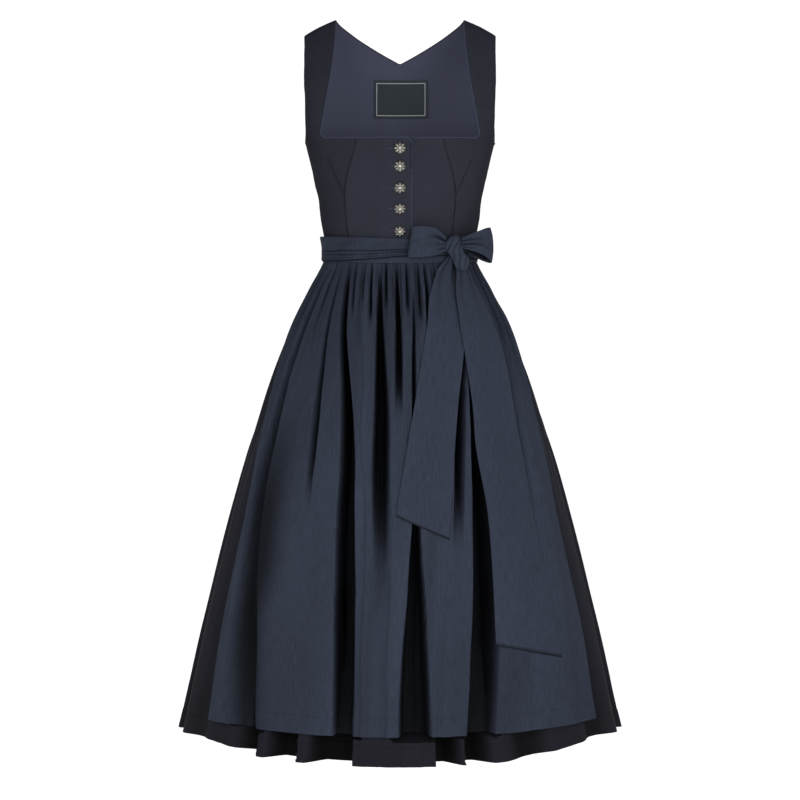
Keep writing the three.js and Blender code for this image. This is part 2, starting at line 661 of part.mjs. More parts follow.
// A fold's cross-section: 1 at its bottom and 0 at its lips, with a share of it flat
const trough = (q, flat) => 1 - smoothstep(Math.abs(q), flat, 1);

// How far the apron's deep folds take it in
function apronFoldDepth(angle, drop) {
  const perDegree = millimetresPerDegree(angle, drop);
  const down = clamp(drop / APRON_LENGTH, 0, 1.05);
  return APRON_FOLDS.reduce((sum, fold) => {
    const halfWidth = lerp(fold.topWidth, fold.hemWidth, smoothstep(down, -0.1, 1)) * 0.62;
    const q = ((angle - flow(fold.at, drop)) * perDegree) / halfWidth;
    const grown = smoothstep(drop, fold.start - 10, fold.start + 230);
    const faded = 1 - smoothstep(drop, lerp(fold.start, fold.end, 0.55), fold.end);
    const depth = lerp(fold.depth, fold.hemDepth || fold.depth, smoothstep(down, 0.55, 1));
    return sum + depth * grown * faded * trough(q, 0.3);
  }, 0);
}

// A gather's cross-section: broad crests between narrow valleys
function gather(waistAngle, { from, to, count }) {
  const share = ((waistAngle - from) / (to - from)) * count;
  const valley = Math.round(share);
  const strength = lerp(0.6, 1, uneven(valley));
  return strength * Math.abs(2 * (share - Math.floor(share)) - 1) ** 3;
}

const apronFloor = (angle, drop) => apronLift(drop) - apronFoldDepth(angle, drop);
function apronOut(waistAngle, angle, drop) {
  return apronFloor(angle, drop) - gatherDepth(drop) * gather(waistAngle, APRON_GATHERS);
}

const backFolds = range(SKIRT_BACK_FOLDS.count).map((i) => {
  const { first, last, count, width, depth } = SKIRT_BACK_FOLDS;
  const lean = uneven(i + 40) > 0.5;
  return {
    at: lerp(first, last, (i + 0.5 + 0.3 * (uneven(i) - 0.5)) / count),
    toRight: width * (lean ? 1.25 : 0.6),
    toLeft: width * (lean ? 0.6 : 1.25),
    depth: depth * lerp(0.65, 1.15, uneven(i + 20)),
  };
});

// How far the skirt's own folds take it in. The front ones are placed by the hem, the others by the waist.
function skirtFoldDepth(angle, drop) {
  const perDegree = millimetresPerDegree(angle, drop);
  const open = Math.sqrt(clamp(drop / SKIRT_LENGTH, 0, 1));
  const depthOf = (fold, foldAngle, grown) => {
    const away = (euclideanModulo(angle - foldAngle + 180, 360) - 180) * perDegree;
    const halfWidth = (away < 0 ? fold.toRight : fold.toLeft) * open;
    return fold.depth * grown * trough(away / Math.max(halfWidth, 1), 0.12);
  };
  const front = SKIRT_FRONT_FOLDS.map((fold) => depthOf(fold, fold.at, smoothstep(drop, 250, 620)));
  const fromFront = Math.abs(euclideanModulo(angle + 180, 360) - 180);
  const behind = smoothstep(fromFront, SKIRT_BACK_FOLDS.from, SKIRT_BACK_FOLDS.full);
  const grown = behind * smoothstep(drop, 30, 420);
  const back = backFolds.map((fold) => depthOf(fold, flow(fold.at, drop), grown));
  return [...front, ...back].reduce((sum, depth) => sum + depth, 0);
}

// Waist angles with four columns for each gather
const gatherColumns = ({ from, to, count }) => shares(count * 4).map((share) => lerp(from, to, share));
const APRON_COLUMNS = gatherColumns(APRON_GATHERS);
const COLUMN_STEP = APRON_COLUMNS[1] - APRON_COLUMNS[0];

// The lowest that the apron lies near a place, so that what is under it passes below its folds
function apronUnderside(waistAngle, drop) {
  const near = [-3, -2, -1, 0, 1, 2, 3].map((step) => {
    const from = clamp(waistAngle + step * COLUMN_STEP, APRON_GATHERS.from, APRON_GATHERS.to);
    return apronOut(from, flow(from, drop), drop);
  });
  return Math.min(...near);
}

// The skirt lies under the apron, which presses it in along its folds and lets it spread again below its hem
function skirtOut(waistAngle, angle, drop) {
  const isBack = waistAngle > SKIRT_GATHERS.from;
  const gathers = isBack ? gatherDepth(drop) * gather(waistAngle, SKIRT_GATHERS) : 0;
  const own = -skirtFoldDepth(angle, drop) - gathers;
  const clearance = lerp(1.8, 5, smoothstep(drop, 20, 90));
  const signed = waistAngle > 180 ? waistAngle - 360 : waistAngle;
  const free = 40 * smoothstep(Math.abs(signed) - APRON_GATHERS.to, 0, 9);
  const spread = Math.max(drop - APRON_LENGTH, 0);
  return Math.min(own, apronUnderside(signed, drop) - clearance + free + spread);
}

const APRON_DROPS = [APRON_TOP, 50, 100, 180, 300, 480, APRON_LENGTH];
const SKIRT_DROPS = [SEAM_GAP / 2, 20, ...APRON_DROPS.slice(1), SKIRT_LENGTH];

// The skirt's waist angles: every second line of the apron, and four for every gather round the back
function skirtColumns() {
  const front = APRON_COLUMNS.filter((_, i) => i % 2 === 0);
  return [...front, ...gatherColumns(SKIRT_GATHERS).slice(1, -1)];
}

function skirtPanels() {
  const columns = skirtColumns();
  const hemRise = curveThrough(HEM_RISE, "angle", "rise");
  const points = SKIRT_DROPS.map((level, row) =>
    columns.map((waistAngle) => {
      const fromFront = Math.abs(waistAngle > 180 ? waistAngle - 360 : waistAngle);
      const isHem = row === SKIRT_DROPS.length - 1;
      const drop = isHem ? level - hemRise(Math.abs(flow(fromFront, level))) : level;
      const angle = flow(waistAngle, drop);
      return ringPoint(angle, drop, skirtOut(waistAngle, angle, drop));
    }),
  );
  const places = withNormals(points, true);
  const starts = [-43, 43, 135, 225].map((angle) => columns.findIndex((column) => column >= angle));
  return starts.map((start, i) => {
    const end = starts[(i + 1) % starts.length];
    const count = ((end - start + columns.length) % columns.length) + 1;
    return places.map((row) => {
      const cut = range(count).map((c) => row[(start + c) % columns.length]);
      const towards = (place, next) => {
        const step = next.point.clone().sub(place.point).setLength(SEAM_GAP / 2);
        return { point: place.point.clone().add(step), normal: place.normal };
      };
      return [towards(cut[0], cut[1]), ...cut.slice(1, -1), towards(cut.at(-1), cut.at(-2))];
    });
  });
}

function apronGrid() {
  const points = APRON_DROPS.map((drop) =>
    APRON_COLUMNS.map((waistAngle) => {
      const angle = flow(waistAngle, drop);
      return ringPoint(angle, drop, apronOut(waistAngle, angle, drop));
    }),
  );
  return withNormals(points);
}

// A strip round the waist: above the seam it follows the figure, below it the skirt's rings
function waistStrip(angles, drops, outAt, closed) {
  const points = drops.map((drop) =>
    angles.map((angle) => {
      if (drop > 0) return ringPoint(angle, drop, outAt(drop, angle));
      return movedOut(skin(angle, waistHeight(angle) - drop), outAt(drop, angle)).point;
    }),
  );
  return withNormals(points, closed);
}

function apronBand() {
  const angles = shares(28).map((share) => lerp(-BAND.halfAngle, BAND.halfAngle, share));
  const drops = [BAND.top, ...TIE_CREASES.slice(1, -1).map(({ drop }) => drop), BAND.bottom];
  return clothWall(waistStrip(angles, drops, () => BAND.out, false), BAND.cloth);
}

function tieWrap() {
  const angles = range(44).map((i) => (i * 360) / 44 - 180);
  const creases = stepsThrough(TIE_CREASES, "drop", "out");
  const { from, to, closer } = TIE_BACK;
  const outAt = (drop, angle) => creases(drop) - closer * smoothstep(Math.abs(angle), from, to);
  const drops = TIE_CREASES.map(({ drop }) => drop);
  return clothWall(waistStrip(angles, drops, outAt, true), RIBBON_CLOTH, { closed: true });
}

// A bow loop: the ribbon's width stands upright, and creases spread from the knot
function bowLoop(rows, outwardSign) {
  const stations = rows.map(({ x, y, z }) => new Vector3(x, y, z));
  const centres = new CatmullRomCurve3(stations, false, "centripetal");
  const halves = rows.map(({ halfHeight }, i) => ({ share: i / (rows.length - 1), halfHeight }));
  const halfHeight = curveThrough(halves, "share", "halfHeight");
  const points = shares(6).map((v) =>
    shares(16).map((share) => {
      const across = lerp(1, -1, v);
      const nearKnot = Math.abs(2 * share - 1) ** 2;
      const crease = 1.6 * nearKnot * Math.cos(across * Math.PI * 2);
      const point = centres.getPoint(share);
      point.z += across * halfHeight(share);
      point.y += share < 0.5 ? -crease : crease;
      return point;
    }),
  );
  return clothWall(withNormals(points, false, outwardSign), RIBBON_CLOTH);
}

function knot() {
  const geometry = new THREE.SphereGeometry(1, 14, 10);
  const position = geometry.getAttribute("position");
  for (const i of range(position.count)) {
    const [x, y, z] = [position.getX(i), position.getY(i), position.getZ(i)];
    const fold = 1 + 0.07 * Math.cos(5 * Math.atan2(z, x)) * (1 - y * y);
    position.setXYZ(i, x * KNOT.halfWidth * fold, z * KNOT.halfDepth * fold, y * KNOT.halfHeight);
  }
  geometry.index.array.reverse();
  return geometry.rotateY(degToRad(KNOT.tilt)).translate(KNOT.x, KNOT.y, KNOT.z);
}

// A tail of the bow, laid on the apron. Its lower end is cut at a slant.
function tail(rows, ends, steps) {
  const fromRight = curveThrough(rows, "drop", "fromRight");
  const toLeft = curveThrough(rows, "drop", "toLeft");
  const out = stepsThrough(rows, "drop", "out");
  const points = shares(steps).map((v) =>
    shares(6).map((u) => {
      const drop = lerp(rows[0].drop, lerp(ends.right, ends.left, u), v ** 1.25);
      return ringPoint(lerp(fromRight(drop), toLeft(drop), u), drop, out(drop));
    }),
  );
  return clothWall(withNormals(points), RIBBON_CLOTH);
}

const CLOTHS = {
  bodice: { color: 0x2b2c35, roughness: 0.85 },
  lining: { color: 0x363a4a, roughness: 0.6 },
  skirt: { color: 0x1c1c22, roughness: 0.6 },
  apron: { color: 0x2e3446, roughness: 0.55 },
  label: { color: 0x2a2f36, roughness: 0.7 },
  piping: { color: 0x39415a, roughness: 0.4 },
  metal: { color: 0xa09c92, roughness: 0.35, metalness: 1 },
};

const dirndl = new THREE.Group();

function addPiece(name, cloth, geometry) {
  const mesh = new THREE.Mesh(geometry, new THREE.MeshStandardMaterial(CLOTHS[cloth]));
  mesh.name = name;
  dirndl.add(mesh);
  return mesh;
}

addPiece("bodice_front_right", "bodice", frontCentrePanel(-1));
addPiece("bodice_front_left", "bodice", frontCentrePanel(1));
addPiece("bodice_side_right", "bodice", sideFrontPanel(-1));
addPiece("bodice_side_left", "bodice", sideFrontPanel(1));
addPiece("bodice_back", "bodice", clothWall(backGrid(), BODICE_CLOTH));
addPiece("back_lining", "lining", clothWall(backGrid(), LINING_CLOTH, { inset: BODICE_CLOTH + SEAM_GAP }));
addPiece("neck_label", "label", neckLabel());
addPiece("piping_right", "piping", neckPiping(-1));
addPiece("piping_left", "piping", neckPiping(1));

BUTTON_HEIGHTS.forEach((height, i) => {
  const seat = movedOut(skin(0, height), OVERLAP_LIFT + SEAM_GAP);
  const mesh = addPiece(`button_${i + 1}`, "metal", button());
  mesh.position.copy(seat.point);
  mesh.quaternion.setFromUnitVectors(new Vector3(0, 1, 0), seat.normal);
});

const panelNames = ["skirt_front", "skirt_side_left", "skirt_back", "skirt_side_right"];
skirtPanels().forEach((grid, i) => addPiece(panelNames[i], "skirt", clothWall(grid, SKIRT_CLOTH)));

addPiece("apron_panel", "apron", clothWall(apronGrid(), APRON_CLOTH));
addPiece("apron_band", "apron", apronBand());
addPiece("tie_wrap", "apron", tieWrap());
addPiece("bow_knot", "apron", knot());
addPiece("bow_loop_front", "apron", bowLoop(LOOP_TOWARDS_FRONT, -1));
addPiece("bow_loop_side", "apron", bowLoop(LOOP_TOWARDS_SIDE, 1));
addPiece("bow_tail_short", "apron", tail(SHORT_TAIL, SHORT_TAIL_ENDS, 12));
addPiece("bow_tail_long", "apron", tail(LONG_TAIL, LONG_TAIL_ENDS, 14));

export default dirndl;
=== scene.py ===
# %% [markdown]
# # A dirndl, worn but with nobody in it
#
# The dress stands filled out: a fitted bodice with a square neckline, a gathered skirt, and an
# apron whose wide ties go round the waist and end in a bow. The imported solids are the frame. They
# have the right size and place, and each cloth is built again here as a finer shell on the same
# form, with the small gathers, creases and seams that the solids leave out.

# %% The frame
import math

import bpy
import numpy as np
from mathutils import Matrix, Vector


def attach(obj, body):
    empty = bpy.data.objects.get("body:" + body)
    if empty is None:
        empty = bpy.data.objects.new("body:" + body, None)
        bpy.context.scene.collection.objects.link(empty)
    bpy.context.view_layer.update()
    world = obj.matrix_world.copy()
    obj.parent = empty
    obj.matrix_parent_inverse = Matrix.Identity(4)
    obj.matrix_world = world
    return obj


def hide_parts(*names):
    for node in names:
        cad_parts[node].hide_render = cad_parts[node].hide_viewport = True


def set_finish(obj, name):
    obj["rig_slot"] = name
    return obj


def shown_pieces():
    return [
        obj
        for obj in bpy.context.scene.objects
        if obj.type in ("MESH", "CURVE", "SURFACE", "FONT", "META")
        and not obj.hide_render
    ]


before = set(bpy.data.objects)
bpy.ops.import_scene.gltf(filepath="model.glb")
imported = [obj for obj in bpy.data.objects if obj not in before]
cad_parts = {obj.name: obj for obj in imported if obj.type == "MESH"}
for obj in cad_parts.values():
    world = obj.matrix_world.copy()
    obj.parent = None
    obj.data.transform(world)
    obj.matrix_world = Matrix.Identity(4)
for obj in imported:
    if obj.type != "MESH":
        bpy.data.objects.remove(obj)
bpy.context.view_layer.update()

print("solids:", len(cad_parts))

# %% [markdown]
# ## Reading curves from short tables
#
# A body or a skirt is easiest to describe as a few measured rings. A smooth curve through one
# column of such a table gives the value at any height between them. The sine sums below stand in
# for the unevenness that no cloth is without: they are fixed by their seed, so every run makes the
# same dress.

# %% Curves and unevenness
def table(columns, *rows):
    return {name: np.array(values, float) for name, values in zip(columns.split(), zip(*rows))}


def curve(rows, column):
    """A smooth curve through one column of a table, read by its first column."""
    xs, ys = next(iter(rows.values())), rows[column]
    inner = (ys[2:] - ys[:-2]) / (xs[2:] - xs[:-2])
    steps = np.diff(xs)
    slopes = np.concatenate([[(ys[1] - ys[0]) / steps[0]], inner, [(ys[-1] - ys[-2]) / steps[-1]]])

    def read(x):
        x = np.clip(np.asarray(x, float), xs[0], xs[-1])
        i = np.clip(np.searchsorted(xs, x, side="right") - 1, 0, len(xs) - 2)
        t = (x - xs[i]) / steps[i]
        start = (2 * t**3 - 3 * t**2 + 1) * ys[i] + (t**3 - 2 * t**2 + t) * steps[i] * slopes[i]
        end = (3 * t**2 - 2 * t**3) * ys[i + 1] + (t**3 - t**2) * steps[i] * slopes[i + 1]
        return start + end

    return read


def lerp(a, b, t):
    return a + (b - a) * t


def smoothstep(x, low, high):
    t = np.clip((x - low) / (high - low), 0, 1)
    return t * t * (3 - 2 * t)


def wander(x, wavelength, seed):
    """A smooth uneven line between about -1 and 1."""
    rng = np.random.default_rng(seed)
    total = 0
    for octave in (1.0, 0.61, 0.37):
        phase, stretch = rng.uniform(0, 2 * np.pi), rng.uniform(0.85, 1.15)
        turn = 2 * np.pi * np.asarray(x) * stretch / (wavelength * octave)
        total = total + octave * np.sin(turn + phase)
    return total / 1.6


def spread(count):
    return np.linspace(0, 1, count)


print("curve tools ready")

# %% [markdown]
# ## A cloth shell from a grid of points
#
# Every woven piece is a grid: rows along its length and columns across it. The shell is the grid,
# the same grid moved in by the cloth's thickness, and a rim between the two. It carries its own
# cloth coordinates in metres, so the weave follows the thread and not the world, and a fold value:
# painted shade, how much each point's colour is darkened for the shade in folds, seams and shadows.

# %% Directions and lengths on a grid
MM, SHARP_EDGE = 0.001, 55


def normals_of(points, closed=False):
    """The direction out of the cloth at each point, away from the wearer's middle."""
    across = np.roll(points, -1, 1) - np.roll(points, 1, 1) if closed else np.gradient(points, axis=1)
    down = np.gradient(points, axis=0)
    normal = np.cross(across, down)
    normal /= np.linalg.norm(normal, axis=2, keepdims=True) + 1e-9
    return normal * np.sign(np.sum(normal[..., :2] * points[..., :2]))


def cloth_lengths(points):
    """How far each point lies along the cloth: across it on a middle row, and down it."""
    middle = points[len(points) // 2]
    across = np.concatenate([[0], np.cumsum(np.linalg.norm(np.diff(middle, axis=0), axis=1))])
    down = np.concatenate([[0], np.cumsum(np.linalg.norm(np.diff(points[:, 0], axis=0), axis=1))])
    return np.broadcast_to(across, points.shape[:2]), np.broadcast_to(down[:, None], points.shape[:2])


print("grid tools ready")

# %% [markdown]
# Blender takes a mesh as a list of points and a list of faces. It is shaded smooth except at sharp
# edges, so the rim of a cloth stays crisp. Each mesh is then told which body it rides on, which
# solid it stands for, and which finish it has.

# %% A mesh that rides on the dress
def add_mesh(name, vertices, faces, slot, stands_for=(), lengths=None, fold=None):
    mesh = bpy.data.meshes.new(name)
    mesh.from_pydata((vertices * MM).tolist(), [], [list(face) for face in faces])
    if lengths is not None:
        u, v = (np.tile(part.ravel() * MM, 2) for part in lengths)
        corner = np.zeros(len(mesh.loops), np.int32)
        mesh.loops.foreach_get("vertex_index", corner)
        uv = np.stack([u[corner], v[corner]], axis=1).astype(np.float32)
        mesh.uv_layers.new(name="cloth").data.foreach_set("uv", uv.ravel())
    # The fold value is painted shade on the cloths, giving how much each point's colour is darkened,
    # and the tarnish in the buttons' hollows.
    depth = np.zeros(len(vertices)) if fold is None else np.resize(fold, len(vertices))
    mesh.attributes.new("fold", "FLOAT", "POINT").data.foreach_set("value", depth.astype(np.float32))
    mesh.polygons.foreach_set("use_smooth", np.ones(len(mesh.polygons), bool))
    mesh.set_sharp_from_angle(angle=math.radians(SHARP_EDGE))
    made = bpy.data.objects.new(name, mesh)
    bpy.context.scene.collection.objects.link(made)
    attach(made, "root")
    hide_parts(*stands_for)
    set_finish(made, slot)
    return made


print("mesh tool ready")

# %% [markdown]
# A shell could also come from a Solidify modifier. Built point by point, both its faces and its rim
# are known exactly, and it exports as it is. A cord is a ring of points carried along a path.

# %% Cloth shells and cords
def cloth(name, points, thickness, slot, stands_for=(), inset=0.0, closed=False, fold=None):
    """A thin closed shell on a grid of points in millimetres, riding on the dress."""
    rows, columns = points.shape[:2]
    normal = normals_of(points, closed)
    layers = np.concatenate([points - normal * inset, points - normal * (inset + thickness)])
    place = np.arange(2 * rows * columns).reshape(2, rows, columns)
    if closed:
        place = np.concatenate([place, place[:, :, :1]], axis=2)

    def strip(a, b, c, d):
        return np.stack([a.ravel(), b.ravel(), c.ravel(), d.ravel()], axis=1)

    outer, inner = place
    quads = [
        strip(outer[:-1, :-1], outer[:-1, 1:], outer[1:, 1:], outer[1:, :-1]),
        strip(inner[:-1, :-1], inner[1:, :-1], inner[1:, 1:], inner[:-1, 1:]),
        strip(outer[0, 1:], outer[0, :-1], inner[0, :-1], inner[0, 1:]),
        strip(outer[-1, :-1], outer[-1, 1:], inner[-1, 1:], inner[-1, :-1]),
    ]
    if not closed:
        quads.append(strip(outer[:-1, 0], outer[1:, 0], inner[1:, 0], inner[:-1, 0]))
        quads.append(strip(outer[1:, -1], outer[:-1, -1], inner[:-1, -1], inner[1:, -1]))
    faces = np.concatenate(quads)
    p, q, r = points[0, 0], points[0, 1], points[1, 0]
    if np.dot(np.cross(q - p, r - p), normal[0, 0]) < 0:
        faces = faces[:, ::-1]
    return add_mesh(name, layers.reshape(-1, 3), faces, slot, stands_for, cloth_lengths(points), fold)


NO_CORD_RUNS_THIS_WAY = [0.31, 0.9, 0.3]


def ring_walls(rings, around):
    """The numbers of the points of closed rings, and the quads between one ring and the next."""
    place = np.arange(rings * around).reshape(rings, around)
    after = np.roll(place, -1, axis=1)
    return place, np.stack([place[:-1], place[1:], after[1:], after[:-1]], axis=2).reshape(-1, 4)


def tube(name, path, radius, slot, stands_for=(), sides=10):
    """A cord along a path of points in millimetres, with its ends closed."""
    tangent = np.gradient(path, axis=0)
    tangent /= np.linalg.norm(tangent, axis=1, keepdims=True)
    side = np.cross(tangent, NO_CORD_RUNS_THIS_WAY)
    side /= np.linalg.norm(side, axis=1, keepdims=True)
    up = np.cross(side, tangent)
    turn = 2 * np.pi * np.arange(sides) / sides
    ring = side[:, None] * np.cos(turn)[None, :, None] + up[:, None] * np.sin(turn)[None, :, None]
    vertices = (path[:, None] + ring * radius).reshape(-1, 3)
    place, walls = ring_walls(len(path), sides)
    walls = walls[:, [0, 3, 2, 1]].tolist()
    ends = [place[0, ::-1].tolist(), place[-1].tolist()]
    return add_mesh(name, vertices, walls + ends, slot, stands_for)


print("shell tools ready")

# %% [markdown]
# ## The figure inside the bodice
#
# A close bodice takes its shape from the body: here a general figure, as rings with a width and a
# depth to the front and the back. Above the chest both sides lean in until they meet at the
# shoulder seams. Points are given by an angle round the body from the centre front and a height
# below the shoulders.

# %% The figure
SEAM_GAP = 0.3
BODICE_CLOTH, LINING_CLOTH, SKIRT_CLOTH, APRON_CLOTH, RIBBON_CLOTH = 2.0, 1.0, 1.2, 1.2, 1.2
WAIST_HEIGHT, WAIST_DIP, CHEST_TOP = -351.0, 12.0, -140.0
FIGURE = table(
    "height half_width front back roundness",
    (-380, 118, 90, 84, 1),
    (-354, 118.5, 89, 83, 1),
    (-330, 122.5, 94, 86, 1),
    (-305, 127, 100.5, 90, 0.98),
    (-275, 130.4, 107, 95, 0.95),
    (-243, 137.6, 112.5, 100, 0.9),
    (-211, 144.8, 113, 104, 0.85),
    (-182, 152, 109, 106, 0.82),
    (-140, 162, 100, 105, 0.8),
    (-80, 171, 100, 105, 0.8),
    (20, 172, 100, 105, 0.8),
)
SHOULDER_CURVE = table(
    "rise front back",
    (0, 1, 1),
    (0.3, 0.84, 0.95),
    (0.55, 0.64, 0.82),
    (0.75, 0.46, 0.62),
    (0.9, 0.28, 0.38),
    (0.97, 0.15, 0.2),
    (1, 0, 0),
)
NECK_OUT, NECK_TOP, SHOULDER_SLOPE = 103.0, 12.8, 0.512
NECKLINE, NECKLINE_RISE, CORNER_OUT, CORNER_RADIUS = -192.0, 4.5, 115.5, 10.0
OVERLAP, OVERLAP_CORNER, OVERLAP_LIFT = 16.8, 9.0, 2.9
PRINCESS_SEAM = table(
    "height out",
    (-370, 78.5), (-318, 84), (-272, 87), (-235, 80), (-205, 70.5), (-190, 68),
)
STRAP_EDGE = table(
    "height out",
    (-177.5, 125.5), (-138, 118.8), (-80, 109.7), (-30, 104.4), (12.8, 103),
)
FRONT_ARMHOLE = table(
    "step angle height",
    (0, 90, -185), (1, 81, -181), (2, 74, -168), (3, 69.2, -150),
    (4, 64.8, -118), (5, 62.6, -80), (6, 61.9, -42), (7, 62.8, -12.8),
)
BACK_ARMHOLE = table(
    "step angle height",
    (0, 90, -185), (1, 97, -181), (2, 105, -168), (3, 110.5, -146),
    (4, 115, -112), (5, 117.5, -75), (6, 117.6, -40), (7, 117.2, -12.8),
)
BACK_NECK_POINT = -42.0
print("rings of the figure:", len(FIGURE["height"]))

# %% [markdown]
# Rings alone are no surface. These helpers turn an angle and a height into a point, and say how
# high the waist, the neckline and the shoulder lie there.

# %% Points on the figure
figure = {column: curve(FIGURE, column) for column in ("half_width", "front", "back", "roundness")}
lean = {column: curve(SHOULDER_CURVE, column) for column in ("front", "back")}
princess_out = curve(PRINCESS_SEAM, "out")


def shoulder_height(x):
    return NECK_TOP - SHOULDER_SLOPE * (np.abs(x) - NECK_OUT)


def waist_height(angle):
    return WAIST_HEIGHT - WAIST_DIP * ((1 + np.cos(np.radians(angle))) / 2) ** 2


def neckline_height(out):
    return NECKLINE + NECKLINE_RISE * (out / CORNER_OUT) ** 2


def skin(angle, height):
    """Points on the figure, in millimetres."""
    turn = np.radians(angle)
    height = np.broadcast_to(height, turn.shape)
    x = figure["half_width"](height) * np.sin(turn)
    rise = np.clip((height - CHEST_TOP) / (shoulder_height(x) - CHEST_TOP), 0, 1)
    is_front = np.cos(turn) > 0
    to_front = figure["front"](height) * lean["front"](rise)
    to_back = figure["back"](height) * lean["back"](rise)
    depth = np.where(is_front, to_front, to_back)
    across = np.sign(np.cos(turn)) * np.abs(np.cos(turn)) ** figure["roundness"](height)
    seam = np.where(is_front, -SEAM_GAP, SEAM_GAP) / 2
    return np.stack([x, -depth * across + seam, height], axis=-1)


def angle_at(x, height):
    return np.degrees(np.arcsin(np.clip(x / figure["half_width"](height), -1, 1)))


def moved_out(points, out):
    """A grid moved along its own normals, by one distance or by one for each point."""
    return points + normals_of(points) * np.asarray(out)[..., None]


print("waist height at the front:", waist_height(0), "mm")

# %% [markdown]
# ## The bodice
#
# A dirndl's bodice is cut close and sewn from panels. The front centre runs from the princess seam
# to the buttoned edge, and the wearer's right front laps over the left. A seam pulls the cloth in a
# little, so each panel dips beside its seams, and so does the cloth along the dart. The rest is
# only a faint unevenness, because this cloth is firm and lined.

# %% Seams and unevenness
SEAM_DIP, SEAM_REACH, SEAM_SHADE = 0.9, 1.4, 0.48
DART = {"from": (113.0, -219.0), "to": (87.5, -276.0)}
OVERLAP_STARTS, OVERLAP_FULL = -48, -20


def dip_beside(distance):
    return -SEAM_DIP * np.exp(-((distance / SEAM_REACH) ** 2))


def overlap_lift(x):
    return OVERLAP_LIFT * smoothstep(x, OVERLAP_STARTS, OVERLAP_FULL)


def distance_to_line(x, z, start, end):
    (x0, z0), (x1, z1) = start, end
    reach = (x - x0) * (x1 - x0) + (z - z0) * (z1 - z0)
    along = np.clip(reach / ((x1 - x0) ** 2 + (z1 - z0) ** 2), 0, 1)
    return np.hypot(x - lerp(x0, x1, along), z - lerp(z0, z1, along))


def cloth_unevenness(points, seed, size=0.5):
    x, z = points[..., 0], points[..., 2]
    slow = wander(x + 0.4 * z, 83, seed) * wander(z - 0.3 * x, 71, seed + 1)
    return size * (slow + 0.3 * wander(x * 0.6 - z, 29, seed + 2))


print("seams dip by", SEAM_DIP, "mm")

# %% [markdown]
# The front centre is one grid between the princess seam and the buttoned edge. Its rows follow the
# waist below and the neckline above, so nothing has to be cut off, and the front that laps over is
# lifted where it covers the other one.

# %% Front centres
UNDERLAP_CORNER = 3.0


def waist_edge(out):
    return waist_height(angle_at(out, WAIST_HEIGHT - WAIST_DIP)) + SEAM_GAP / 2


def neckline_edge(out, radius):
    past = np.clip(radius - OVERLAP - out, 0, radius)
    return neckline_height(out) - radius + np.sqrt(np.maximum(radius**2 - past**2, 0))


def princess_station(share):
    height = lerp(waist_edge(PRINCESS_SEAM["out"][0]), neckline_height(PRINCESS_SEAM["out"][-1]), share)
    return princess_out(height), height


def front_centre(side, rows=96, columns=64):
    radius = OVERLAP_CORNER if side < 0 else UNDERLAP_CORNER
    share = spread(rows)[:, None]
    seam_out, seam_height = princess_station(share)
    start = seam_out - SEAM_GAP / 2
    out = lerp(start, -OVERLAP, 1 - (1 - spread(columns)) ** 1.7)
    height = seam_height + lerp(waist_edge(out), neckline_edge(out, radius), share)
    height = height - lerp(waist_edge(start), neckline_edge(start, radius), share)
    points = skin(angle_at(side * out, height), height)
    if side > 0:
        points = points[:, ::-1]
        out = out[:, ::-1]
    seam = dip_beside(seam_out - out)
    relief = seam + cloth_unevenness(points, 3 + side)
    if side < 0:
        relief = relief + overlap_lift(points[..., 0])
    return moved_out(points, relief), -SEAM_SHADE * seam


print("princess seam leaves the waist", float(PRINCESS_SEAM["out"][0]), "mm out")

# %% [markdown]
# A side front runs from the waist past the corner of the neckline to the shoulder, in one piece
# with its strap. Its two long edges are drawn first, with the same number of points, and the cloth
# is then spread between them.

# %% Edges of the side fronts
SEAM_ROWS, LEVEL_ROWS, CORNER_ROWS, STRAP_ROWS = 120, 32, 22, 90
SIDE_SEAM_BEND, SIDE_SEAM_TOP = -226, -186


def arc_walk(angle, height, count):
    """The same polyline of stations with its points spread evenly."""
    across = np.radians(np.diff(angle)) * figure["half_width"](height[1:])
    reach = np.concatenate([[0], np.cumsum(np.hypot(across, np.diff(height)))])
    even = np.linspace(0, reach[-1], count)
    return np.interp(even, reach, angle), np.interp(even, reach, height)


def armhole(stations, count):
    steps = np.linspace(0, stations["step"][-1], 200)
    return arc_walk(curve(stations, "angle")(steps), curve(stations, "height")(steps), count)


def side_front_edges():
    """The two edges that a side front's rows run between, from the waist up, as angles and heights."""
    seam_out, seam_height = princess_station(spread(SEAM_ROWS))
    level = lerp(PRINCESS_SEAM["out"][-1], CORNER_OUT, spread(LEVEL_ROWS)[1:])
    turn = np.radians(np.linspace(0, 90, CORNER_ROWS)[1:-1])
    corner_out = CORNER_OUT + CORNER_RADIUS * np.sin(turn)
    corner_height = neckline_height(CORNER_OUT) + CORNER_RADIUS * (1 - np.cos(turn))
    strap_height = np.linspace(STRAP_EDGE["height"][0], STRAP_EDGE["height"][-1], STRAP_ROWS)
    strap_out = curve(STRAP_EDGE, "out")(strap_height)
    inner_out = np.concatenate([seam_out + SEAM_GAP / 2, level, corner_out, strap_out])
    inner_height = np.concatenate([seam_height, neckline_height(level), corner_height, strap_height])
    hole_angle, hole_height = armhole(FRONT_ARMHOLE, len(corner_out) + STRAP_ROWS)
    lower_side = np.linspace(waist_edge(200), SIDE_SEAM_BEND, SEAM_ROWS)
    upper_side = np.linspace(SIDE_SEAM_BEND, SIDE_SEAM_TOP, LEVEL_ROWS)[1:]
    side_height = np.concatenate([lower_side, upper_side])
    outer_height = np.concatenate([side_height, hole_height])
    outer_angle = np.concatenate([np.full(len(side_height), 90.0), hole_angle])
    return (angle_at(inner_out, inner_height), inner_height), (outer_angle, outer_height)


print("rows of a side front:", len(side_front_edges()[0][0]))

# %% Side fronts
SIDE_SEAM_ANGLE, SIDE_DIP_ANGLE, MM_A_DEGREE, FAR_FROM_SEAM = 89.98, 89.92, 1.7, 99
SIDE_SHADE, TURNED_AWAY_SHADE = {-1: 0.18, 1: 0.06}, 0.42


